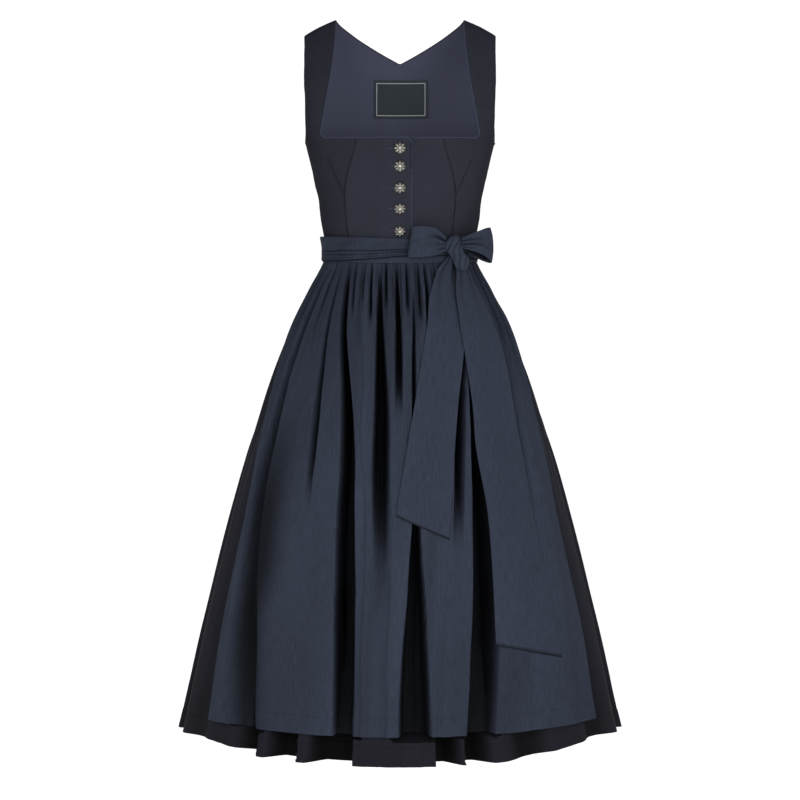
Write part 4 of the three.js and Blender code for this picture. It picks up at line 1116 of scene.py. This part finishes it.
# %% Skirt
HEM_RISE = table(
    "angle rise", (0, 0), (30, 2), (41, 8), (54, 13), (67, 10.5), (76, 7), (90, 3), (180, 3)
)
SKIRT_HEM, SKIRT_ROWS, SKIRT_LOW_SHADE, SKIRT_DARK_FOLD = 28.0, 76, 0.26, 13
BELOW_APRON = APRON_LENGTH + np.array([0.5, 3, 6, 9, 12])


def skirt_place(waist_angle, drop):
    angle, out, shift, _ = skirt_out(waist_angle, drop)
    return ring_point(angle, drop, out, shift)


def skirt_shell(node, start, end, count):
    columns = even_columns(start - 0.05, end + 0.05, count, skirt_place)
    rows = hem_rows(SEAM_GAP / 2, SKIRT_LENGTH, SKIRT_ROWS, SKIRT_HEM, BELOW_APRON)
    level, waist_angle = np.meshgrid(rows, columns, indexing="ij")
    signed = np.abs(np.where(waist_angle > 180, waist_angle - 360, waist_angle))
    rise = curve(HEM_RISE, "rise")(flow(signed, level)) * smoothstep(level, 560, SKIRT_LENGTH)
    drop = level - rise
    angle, out, shift, depth = skirt_out(waist_angle, drop)
    nearest = np.minimum(np.abs(waist_angle - start), np.abs(waist_angle - end))
    to_seam = nearest * mm_per_degree(angle, drop)
    out = out + hem_relief(level, SKIRT_LENGTH, SKIRT_HEM) + dip_beside(to_seam)
    points = ring_point(angle, drop, out, shift)
    low = SKIRT_LOW_SHADE * smoothstep(level, 600, 750)
    shade = 1 - (1 - darkness(depth, SKIRT_DARK_FOLD)) * (1 - low)
    return cloth(f"{node}_shell", points, SKIRT_CLOTH, "skirt_cloth", [node], fold=shade)


SKIRT_PANELS = (
    ("skirt_front", -43, 43, 220),
    ("skirt_side_left", 43, 135, 200),
    ("skirt_back", 135, 225, 200),
    ("skirt_side_right", 225, 317, 200),
)
skirt = [skirt_shell(*panel) for panel in SKIRT_PANELS]
print("skirt faces:", [len(o.data.polygons) for o in skirt])

# %% [markdown]
# ## Band and wound tie
#
# The apron hangs from a plain band. Its tie goes once round over the band and ends in the bow. A
# tie this wide never lies flat: it breaks into long level creases that close up towards the bow,
# where it is pulled together.

# %% Band
TIE_EDGE = table(
    "angle top bottom",
    (-180, -19, 17), (-90, -20, 18), (-50, -19.5, 17), (-20, -19, 13), (5, -18, 8.5), (40, -17, 9),
    (65, -19, 14), (90, -20, 17), (180, -19, 17),
)
BAND_OUT, BAND_CLOTH, BAND_TOP, BAND_BOTTOM = 5.0, 1.1, -17.5, 20


def around_waist(angle, drop, out):
    """Points a given way out from the waist: on the figure above it, on the rings below it."""
    above = skin(angle, waist_height(angle) - np.minimum(drop, 0))
    lower = ring_point(angle, np.maximum(drop, 0))
    base = np.where((drop > 0)[..., None], lower, above)
    flat = np.stack([np.sin(np.radians(angle)), -np.cos(np.radians(angle))], axis=-1)
    return np.concatenate([base[..., :2] + flat * np.asarray(out)[..., None], base[..., 2:]], axis=-1)


def band_shell():
    angle = np.linspace(-APRON_EDGE, APRON_EDGE, 140)[None, :] + np.zeros((40, 1))
    drop = np.linspace(BAND_TOP, BAND_BOTTOM, 40)[:, None] + 0 * angle
    out = BAND_OUT + 0.25 * wander(angle, 23, 130) * smoothstep(drop, 0, 20)
    below_tie = drop - curve(TIE_EDGE, "bottom")(angle)
    shade = 0.2 + 0.8 * np.exp(-((np.maximum(below_tie, 0) / 2.2) ** 2))
    points = around_waist(angle, drop, out)
    return cloth("apron_band_shell", points, BAND_CLOTH, "apron_cloth", ["apron_band"], fold=shade)


band = band_shell()
print("band faces:", len(band.data.polygons))

# %% [markdown]
# The tie is one closed ring of cloth over the band. Its creases run level, each with its own depth,
# and draw together towards the bow.

# %% Wound tie
TIE_OUT = 7.3
TIE_CREASES = table("v depth", (0.6, 1.3), (0.76, 1.1), (0.9, 0.6), (0.3, 0.25))


def tie_shell():
    angle = np.linspace(-180, 180, 257)[None, :-1] + np.zeros((60, 1))
    v = spread(60)[:, None] + 0 * angle
    drop = lerp(curve(TIE_EDGE, "top")(angle), curve(TIE_EDGE, "bottom")(angle), v)
    closing = smoothstep(angle, -60, 20) * (1 - smoothstep(angle, 60, 90))
    crease, shade = 0.0, 0.27 + 0.12 * wander(angle + 15 * v, 47, 142)
    for place, depth in zip(*TIE_CREASES.values()):
        line = place + 0.07 * closing * (1 - place) + 0.02 * wander(angle, 61, int(place * 100))
        groove = np.exp(-(((v - line) / 0.028) ** 2))
        crease, shade = crease + depth * groove, shade + 0.4 * depth * groove
    in_front = smoothstep(-np.abs(angle), -80, -60)
    crumple = 0.5 * closing * in_front * wander(v + 0.004 * angle, 0.31, 141)
    round_edge = 0.8 * (1 - smoothstep(np.minimum(v, 1 - v), 0, 0.06))
    over_bodice = 1.5 * smoothstep(-drop, 4, 16) * smoothstep(np.abs(angle), APRON_EDGE, 90)
    closer = 4 * smoothstep(np.abs(angle), APRON_EDGE, 91) + over_bodice
    uneven_pull = 0.3 * in_front * wander(angle + 60 * v, 37, 140)
    out = TIE_OUT - crease * in_front + crumple - round_edge - closer + uneven_pull
    points = around_waist(angle, drop, out)
    shade = np.clip(0.1 + 0.9 * shade + 0.5 * smoothstep(v, 0.965, 1), 0, 1)
    node = "tie_wrap"
    return cloth(f"{node}_shell", points, RIBBON_CLOTH, "apron_cloth", [node], closed=True, fold=shade)


tie = tie_shell()
print("tie faces:", len(tie.data.polygons))

# %% [markdown]
# ## The bow
#
# Each loop is the ribbon folded back on itself: it leaves the knot pleated together, opens to its
# full width and comes back behind. The creases are deepest at the knot and run out along the loop.
# The tails leave the knot in the same pleats and fall flat over the apron.

# %% Loops of the bow
LOOP_TOWARDS_FRONT = table(
    "share x y z half",
    (0, 71, -91.4, -353, 10),
    (0.125, 56, -103.4, -351, 20.5),
    (0.25, 36, -110.9, -351, 23.6),
    (0.375, 20, -109.9, -351.5, 23.5),
    (0.5, 15, -104.9, -352, 23.5),
    (0.625, 20, -100.4, -352, 23),
    (0.75, 36, -98.4, -351, 20),
    (0.875, 54, -91.9, -352, 15),
    (1, 70.4, -85.9, -353, 8),
)
LOOP_TOWARDS_SIDE = table(
    "share x y z half",
    (0, 95.6, -87.9, -351.5, 8),
    (0.125, 113, -89.4, -350, 13.5),
    (0.25, 131, -78.4, -349, 20.5),
    (0.375, 141.5, -64.4, -350.5, 25.5),
    (0.5, 145, -56.4, -352, 27.2),
    (0.625, 140, -53.4, -353, 26.8),
    (0.75, 127, -61.4, -354.5, 21.5),
    (0.875, 112, -72.4, -354, 14.5),
    (1, 94.6, -81.4, -352, 8),
)
FRONT_LOOP_CREASES = table(
    "across depth width reach",
    (0.45, 4.6, 0.17, 0.45),
    (-0.1, 1.8, 0.13, 0.7),
    (-0.6, 2.2, 0.13, 0.4),
)
SIDE_LOOP_CREASES = table(
    "across depth width reach",
    (0.35, 2.8, 0.15, 0.7),
    (-0.2, 3.2, 0.14, 0.85),
    (-0.66, 1.8, 0.12, 0.5),
    (0.8, 1.2, 0.1, 0.5),
)


def loop_shell(node, rows, creases, lean, bulge, seed):
    share, across = spread(96)[None, :], np.linspace(1, -1, 56)[:, None]
    x, y, z, half = (curve(rows, column)(share) for column in ("x", "y", "z", "half"))
    from_knot = 1 - np.abs(2 * share - 1)
    groove, shade = 0.0, 0.16
    for place, depth, width, reach in zip(*creases.values()):
        line = place + 0.12 * wander(share, 0.8, seed + int(place * 10)) * from_knot
        strength = depth * (1 - smoothstep(from_knot, 0.15 * reach, reach))
        spread_out = width * (0.8 + from_knot)
        dip = np.exp(-(((across - line) / spread_out) ** 2))
        groove, shade = groove + strength * dip, shade + 0.17 * strength * dip
    soft = 4 * from_knot * (1 - from_knot) * wander(across * 0.9 + 1.4 * share, 1.1, seed + 2)
    low_edge = smoothstep(-across, 0.3, 0.6)
    inside = smoothstep(share, 0.53, 0.62) * low_edge * (1 - smoothstep(-across, 0.88, 0.95))
    x = x + (lean * across + bulge * (0.5 - across**2)) * smoothstep(from_knot, 0.2, 0.9)
    path = np.stack(np.broadcast_arrays(x, y, z + across * half), axis=-1)
    points = moved_out(path, (1 - from_knot) - groove + soft)
    shade = np.clip(shade + 0.85 * inside, 0, 1)
    return cloth(f"{node}_shell", points, RIBBON_CLOTH, "apron_cloth", [node], fold=shade)


loops = [
    loop_shell("bow_loop_front", LOOP_TOWARDS_FRONT, FRONT_LOOP_CREASES, 4, 0, 160),
    loop_shell("bow_loop_side", LOOP_TOWARDS_SIDE, SIDE_LOOP_CREASES, -1, 3.5, 170),
]
print("loop faces:", [len(loop.data.polygons) for loop in loops])

# %% [markdown]
# A knot could be made by really tying a ribbon, but only its outside shows. A lump with slanting
# lobes and narrow valleys between them reads as wound cloth.

# %% Knot
KNOT = table(
    "share x z wide deep",
    (0, 79, -341, 2.5, 2),
    (0.07, 79.5, -343.5, 10, 5.5),
    (0.2, 80.5, -349, 14, 8),
    (0.36, 82, -356, 14.4, 9),
    (0.52, 86, -363, 12, 8.4),
    (0.63, 89.5, -369, 10.6, 7),
    (0.76, 94, -377, 12.4, 7.4),
    (0.9, 98, -386.5, 10.5, 5.5),
    (1, 101, -393.5, 4, 1.5),
)
KNOT_DEPTH, KNOT_LEAN = -86.0, math.radians(28)


def knot_mesh(rings=90, around=72):
    """Cloth wound over itself: lobes run slanting round it, with narrow valleys between them."""
    share, turn = np.meshgrid(spread(rings), 2 * np.pi * np.arange(around) / around, indexing="ij")
    x, z, wide, deep = (curve(KNOT, column)(share) for column in ("x", "z", "wide", "deep"))
    lobes = np.abs(np.cos(2.5 * turn + 12 * share + 0.5 * wander(share, 0.5, 150))) ** 0.6
    size = 0.76 + 0.28 * lobes + 0.05 * wander(share + 0.2 * np.cos(turn), 0.21, 151)
    sideways = wide * np.cos(turn) * size
    x, z = x + sideways * math.cos(KNOT_LEAN), z + sideways * math.sin(KNOT_LEAN)
    vertices = np.stack([x, KNOT_DEPTH + deep * np.sin(turn) * size, z], axis=-1)
    shade = 0.12 + 0.7 * (1 - lobes) ** 2
    place, walls = ring_walls(rings, around)
    faces = walls.tolist() + [place[0].tolist(), place[-1, ::-1].tolist()]
    vertices = vertices.reshape(-1, 3)
    return add_mesh("bow_knot_folds", vertices, faces, "apron_cloth", ["bow_knot"], fold=shade)


knot = knot_mesh()
print("knot faces:", len(knot.data.polygons))

# %% [markdown]
# Each tail hangs over the apron between two edges that a table gives. It starts in pleats under the
# knot and falls flat further down.

# %% Tails of the bow
LONG_TAIL = table(
    "drop from_right to_left out",
    (9, 41.5, 46.5, 11.4), (17, 42, 49, 12.6), (32, 39.6, 51, 13.4), (68, 33.8, 52.6, 13),
    (120, 30.6, 53.4, 12), (159, 29.8, 53, 11.4), (193, 29.3, 51.8, 10.6), (240, 28.9, 49.6, 9.8),
    (305, 27.6, 48, 9), (404, 28.4, 46.6, 9), (620, 25.5, 47.2, 9),
)
SHORT_TAIL = table(
    "drop from_right to_left out",
    (9, 37, 41, 10), (17, 33, 42, 10), (32, 25.5, 42, 9.4), (75, 17, 38.4, 8.4),
    (110, 14.2, 35, 8.4), (129, 12.7, 33, 8.6), (170, 9.5, 28.6, 9), (237, 5.7, 23, 9),
    (335, 1.2, 18.2, 9), (439, -2.4, 14.9, 9),
)


def tail_shell(node, rows, end_right, end_left, seed, shade_under_knot=0.0):
    u = spread(64)[None, :]
    v = spread(120)[:, None] ** 1.2
    drop = lerp(rows["drop"][0], lerp(end_right, end_left, u), v)
    left, right = curve(rows, "from_right")(drop), curve(rows, "to_left")(drop)
    out = np.interp(drop, rows["drop"], rows["out"])
    pleated = 1 - smoothstep(drop, 15, 150)
    wave = 1.9 * u + 0.12 * wander(drop, 90, seed)
    pleats = 1.5 * pleated * (2 * np.abs(np.cos(np.pi * wave)) ** 0.7 - 1) * (1 - smoothstep(u, 0.8, 1))
    between_edges = np.sin(np.pi * np.clip(u, 0.05, 0.95))
    waves = 1.1 * (1 - pleated) * wander(u * 1.2 + drop / 260, 0.8, seed + 1) * between_edges
    hem = 0.35 * smoothstep(v, 0.965, 0.972) + 0.25 * (1 - smoothstep(np.minimum(u, 1 - u), 0.0, 0.05))
    points = ring_point(lerp(left, right, u), drop, out + 1.0 + np.maximum(pleats + waves, -1.4) + hem)
    # Painted shade in the pleats' valleys, under the knot and near the top, and a painted shadow line
    # along the lower end.
    valley = pleated * np.clip(0.5 - pleats / 3, 0, 1) ** 2
    under_knot = 1.3 * smoothstep(u, 0.62, 0.85) * (1 - smoothstep(drop, 25, 75))
    valley = valley + under_knot * shade_under_knot
    painted_edge_shadow = smoothstep(v, 0.994, 1)
    shade = np.clip(0.05 + 0.5 * valley + 0.9 * painted_edge_shadow + 0.1 * (1 - smoothstep(drop, 30, 160)), 0, 1)
    return cloth(f"{node}_shell", points, RIBBON_CLOTH, "apron_cloth", [node], fold=shade)


tails = [
    tail_shell("bow_tail_short", SHORT_TAIL, 404, 439, 180, 1.0),
    tail_shell("bow_tail_long", LONG_TAIL, 594, 621, 190),
]
print("tail faces:", [len(tail.data.polygons) for tail in tails])

# %% [markdown]
# ## Cloth finishes
#
# All the cloths share one effect: threads that vary. Along the warp a thread is thick here and thin
# there, which in the apron shows as short upright streaks, called slubs. The group works in cloth
# coordinates in metres and gives a colour change and a height, and each material decides how much
# of them it takes.

# %% Thread effect
def new_group(name, inputs, outputs):
    group = bpy.data.node_groups.new(name, "ShaderNodeTree")
    for label, default in inputs:
        socket = group.interface.new_socket(name=label, in_out="INPUT", socket_type="NodeSocketFloat")
        socket.default_value = default
    for label in outputs:
        group.interface.new_socket(name=label, in_out="OUTPUT", socket_type="NodeSocketFloat")
    return group, group.nodes.new("NodeGroupInput"), group.nodes.new("NodeGroupOutput")


def add(tree, kind, **settings):
    node = tree.nodes.new(kind)
    for name, value in settings.items():
        setattr(node, name, value)
    return node


def feed(tree, socket, value):
    """Link another node's output to a socket, or set the socket to a plain value."""
    if hasattr(value, "is_output"):
        tree.links.new(value, socket)
    elif value is not None:
        socket.default_value = value


def math_node(tree, operation, first, second=None):
    node = add(tree, "ShaderNodeMath", operation=operation)
    for socket, value in zip(node.inputs, (first, second)):
        feed(tree, socket, value)
    return node.outputs[0]


def mixed_color(tree, factor, first, second, blend_type="MIX"):
    node = add(tree, "ShaderNodeMix", data_type="RGBA", blend_type=blend_type)
    for name, value in (("Factor", factor), ("A", first), ("B", second)):
        feed(tree, node.inputs[name], value)
    return node.outputs["Result"]


def stretched_noise(tree, coordinates, across, along, detail):
    """Noise in cloth coordinates, with its own number of cells in a metre each way."""
    scale = add(tree, "ShaderNodeMapping")
    scale.inputs["Scale"].default_value = (across, along, 1)
    tree.links.new(coordinates, scale.inputs["Vector"])
    noise = add(tree, "ShaderNodeTexNoise", noise_dimensions="2D")
    noise.inputs["Scale"].default_value = 1.0
    noise.inputs["Detail"].default_value = detail
    tree.links.new(scale.outputs["Vector"], noise.inputs["Vector"])
    return noise.outputs["Fac"]


def make_threads():
    group, given, result = new_group("threads", [("Slub", 1.0), ("Weave", 1.0)], ["Shade", "Height"])
    cloth_uv = add(group, "ShaderNodeUVMap", uv_map="cloth").outputs["UV"]
    slub = stretched_noise(group, cloth_uv, 620, 48, 2.0)
    weft = stretched_noise(group, cloth_uv, 70, 700, 1.0)
    patch = stretched_noise(group, cloth_uv, 9, 4, 2.0)
    centred = lambda value: math_node(group, "SUBTRACT", value, 0.5)
    slub_part = math_node(group, "MULTIPLY", centred(slub), given.outputs["Slub"])
    weft_part = math_node(group, "MULTIPLY", centred(weft), given.outputs["Weave"])
    threads = math_node(group, "ADD", slub_part, weft_part)
    total = math_node(group, "ADD", threads, math_node(group, "MULTIPLY", centred(patch), 0.25))
    group.links.new(math_node(group, "ADD", total, 1.0), result.inputs["Shade"])
    group.links.new(threads, result.inputs["Height"])
    return group


threads = make_threads()
print("thread effect outputs:", [s.name for s in threads.interface.items_tree if s.in_out == "OUTPUT"])

# %% [markdown]
# Light that falls into a deep fold of dark cloth hardly comes out again. The fold value is painted
# shade: it darkens the cloth there and in the other shaded places it marks, on top of what the
# render works out for itself.

# %% Cloth materials
PAINTED_SHADE_COLOR, BUMP_STRENGTH, BUMP_DISTANCE, CLOTH_SPECULAR = (0.2, 0.19, 0.15), 0.35, 0.0006, 0.02


def cloth_material(name, color, slub, weave, roughness):
    material = bpy.data.materials.new(name)
    material.use_nodes = True
    tree = material.node_tree
    shader = tree.nodes["Principled BSDF"]
    group = add(tree, "ShaderNodeGroup", node_tree=threads)
    group.inputs["Slub"].default_value = slub
    group.inputs["Weave"].default_value = weave
    threaded = mixed_color(tree, 1.0, (*color, 1), group.outputs["Shade"], "MULTIPLY")
    # Painted shade: where the fold value is high, the colour is darkened towards the shade colour.
    fold = add(tree, "ShaderNodeAttribute", attribute_name="fold")
    darkened = mixed_color(tree, fold.outputs["Fac"], threaded, (*PAINTED_SHADE_COLOR, 1), "MULTIPLY")
    tree.links.new(darkened, shader.inputs["Base Color"])
    bump = add(tree, "ShaderNodeBump")
    bump.inputs["Strength"].default_value = BUMP_STRENGTH
    bump.inputs["Distance"].default_value = BUMP_DISTANCE
    tree.links.new(group.outputs["Height"], bump.inputs["Height"])
    tree.links.new(bump.outputs["Normal"], shader.inputs["Normal"])
    shader.inputs["Roughness"].default_value = roughness
    shader.inputs["Specular IOR Level"].default_value = CLOTH_SPECULAR
    return material


MATERIALS = {
    "apron_cloth": cloth_material("navy_slub", (0.0245, 0.0294, 0.0452), 0.6, 0.2, 0.7),
    "bodice_cloth": cloth_material("black_navy_twill", (0.0175, 0.0185, 0.0255), 0.15, 0.25, 0.85),
    "skirt_cloth": cloth_material("black_satin_cotton", (0.0122, 0.0126, 0.0168), 0.15, 0.15, 0.7),
    "lining_cloth": cloth_material("navy_lining", (0.040, 0.043, 0.066), 0.12, 0.1, 0.6),
    "piping_cloth": cloth_material("light_navy_piping", (0.028, 0.034, 0.052), 0.1, 0.1, 0.5),
}
print("cloth materials:", len(MATERIALS))

# %% [markdown]
# The label is a small woven patch. It stays bare inside one plain border line, found from its own
# cloth coordinates.

# %% Label
LABEL_BORDER = ((0.0455, 0.0445), (0.0315, 0.0305))
BORDER_INSET, BORDER_HALF, BORDER_COLOR = 0.0038, 0.00048, (0.32, 0.33, 0.34, 1)


def border_mask(tree, coordinates):
    """1 on a thin rectangle a little inside the label's edge."""
    split = add(tree, "ShaderNodeSeparateXYZ")
    tree.links.new(coordinates, split.inputs[0])
    to_edge = []
    for place, (middle, half) in zip(split.outputs, LABEL_BORDER):
        from_middle = math_node(tree, "ABSOLUTE", math_node(tree, "SUBTRACT", place, middle))
        to_edge.append(math_node(tree, "SUBTRACT", half, from_middle))
    nearest = math_node(tree, "MINIMUM", *to_edge)
    off_line = math_node(tree, "ABSOLUTE", math_node(tree, "SUBTRACT", nearest, BORDER_INSET))
    return math_node(tree, "LESS_THAN", off_line, BORDER_HALF)


def label_material():
    material = cloth_material("woven_label", (0.025, 0.030, 0.036), 0.05, 0.15, 0.6)
    tree = material.node_tree
    shader = tree.nodes["Principled BSDF"]
    base = shader.inputs["Base Color"]
    uv = add(tree, "ShaderNodeUVMap", uv_map="cloth")
    border = border_mask(tree, uv.outputs["UV"])
    tree.links.new(mixed_color(tree, border, base.links[0].from_socket, BORDER_COLOR), base)
    return material


MATERIALS["label_cloth"] = label_material()
print("label border lies in by", BORDER_INSET, "m")

# %% [markdown]
# Old silver is bright where fingers rub it and black in its hollows. Here the fold value mixes the
# two colours.

# %% Metal
RUBBED_SILVER, BLACK_SILVER = (0.4, 0.39, 0.35, 1), (0.008, 0.008, 0.007, 1)


def metal_material():
    material = bpy.data.materials.new("antique_silver")
    material.use_nodes = True
    tree = material.node_tree
    shader = tree.nodes["Principled BSDF"]
    shader.inputs["Metallic"].default_value = 1.0
    shader.inputs["Roughness"].default_value = 0.34
    hollow = add(tree, "ShaderNodeAttribute", attribute_name="fold")
    blackened = mixed_color(tree, hollow.outputs["Fac"], RUBBED_SILVER, BLACK_SILVER)
    tree.links.new(blackened, shader.inputs["Base Color"])
    return material


MATERIALS["button_metal"] = metal_material()
print("metal:", MATERIALS["button_metal"].name)

# %% [markdown]
# Each piece takes the finish of the slot that it already has.

# %% Finishes on their pieces
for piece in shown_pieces():
    piece.data.materials.clear()
    piece.data.materials.append(MATERIALS[piece["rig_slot"]])

# %% [markdown]
# ## Studio
#
# The dress is shown as in a shop picture: straight on, on white, under two broad soft lights beside
# the camera. The room is white and its ceiling dimmer, so crests are lit evenly from the front and
# only deep folds go dark.

# %% Floor and lights
LIGHTS_AIM_AT = Vector((0, 0, -0.6))


def plane(name, size, location, color):
    bpy.ops.mesh.primitive_plane_add(size=size, location=location)
    made = bpy.context.object
    made.name = name
    material = bpy.data.materials.new(name)
    material.use_nodes = True
    shader = material.node_tree.nodes["Principled BSDF"]
    shader.inputs["Base Color"].default_value = (*color, 1)
    shader.inputs["Roughness"].default_value = 0.9
    shader.inputs["Emission Color"].default_value = (1, 1, 1, 1)
    shader.inputs["Emission Strength"].default_value = 0.6
    made.data.materials.append(material)


def soft_light(name, location, size, watts):
    data = bpy.data.lights.new(name, "AREA")
    data.shape, data.size, data.energy = "SQUARE", size, watts
    light = bpy.data.objects.new(name, data)
    light.location = location
    light.rotation_euler = (LIGHTS_AIM_AT - light.location).to_track_quat("-Z", "Y").to_euler()
    bpy.context.scene.collection.objects.link(light)
    return light


plane("floor", 14, (0, 2.5, -1.42), (0.97, 0.97, 0.97))
lights = [
    soft_light("front_left_light", (-1.5, -3.2, -0.2), 1.8, 42),
    soft_light("front_right_light", (1.5, -3.2, -0.2), 1.8, 63),
]
print("lights:", len(lights))

# %% [markdown]
# A white world gives soft light from all round. It is dimmer overhead, so that level places don't
# flare and folds keep their dark sides.

# %% White room
world = bpy.data.worlds.new("white_room")
world.use_nodes = True
background = world.node_tree.nodes["Background"]
direction = add(world.node_tree, "ShaderNodeTexCoord")
split = add(world.node_tree, "ShaderNodeSeparateXYZ")
world.node_tree.links.new(direction.outputs["Generated"], split.inputs[0])
ceiling = add(world.node_tree, "ShaderNodeMapRange", interpolation_type="SMOOTHSTEP")
for name, value in (("From Min", 0.22), ("From Max", 0.6), ("To Min", 1.06), ("To Max", 0.3)):
    ceiling.inputs[name].default_value = value
world.node_tree.links.new(split.outputs["Z"], ceiling.inputs["Value"])
world.node_tree.links.new(ceiling.outputs["Result"], background.inputs["Strength"])
background.inputs["Color"].default_value = (1, 1, 1, 1)
bpy.context.scene.world = world
bpy.context.scene.view_settings.view_transform = "Standard"
print("room:", world.name)

# %% [markdown]
# The camera stands straight in front, near the height of the dress's middle and three metres away.

# %% Camera
CAMERA_DISTANCE, CAMERA_HEIGHT, LENS_MM, SENSOR_MM = 3.0, -0.5952, 84.375, 36

camera_data = bpy.data.cameras.new("camera")
camera_data.sensor_width = SENSOR_MM
camera_data.lens = LENS_MM
camera = bpy.data.objects.new("camera", camera_data)
camera.location = (0, -CAMERA_DISTANCE, CAMERA_HEIGHT)
camera.rotation_euler = (math.radians(90), 0, 0)
bpy.context.scene.collection.objects.link(camera)
bpy.context.scene.camera = camera
print("camera stands", CAMERA_DISTANCE, "m in front")
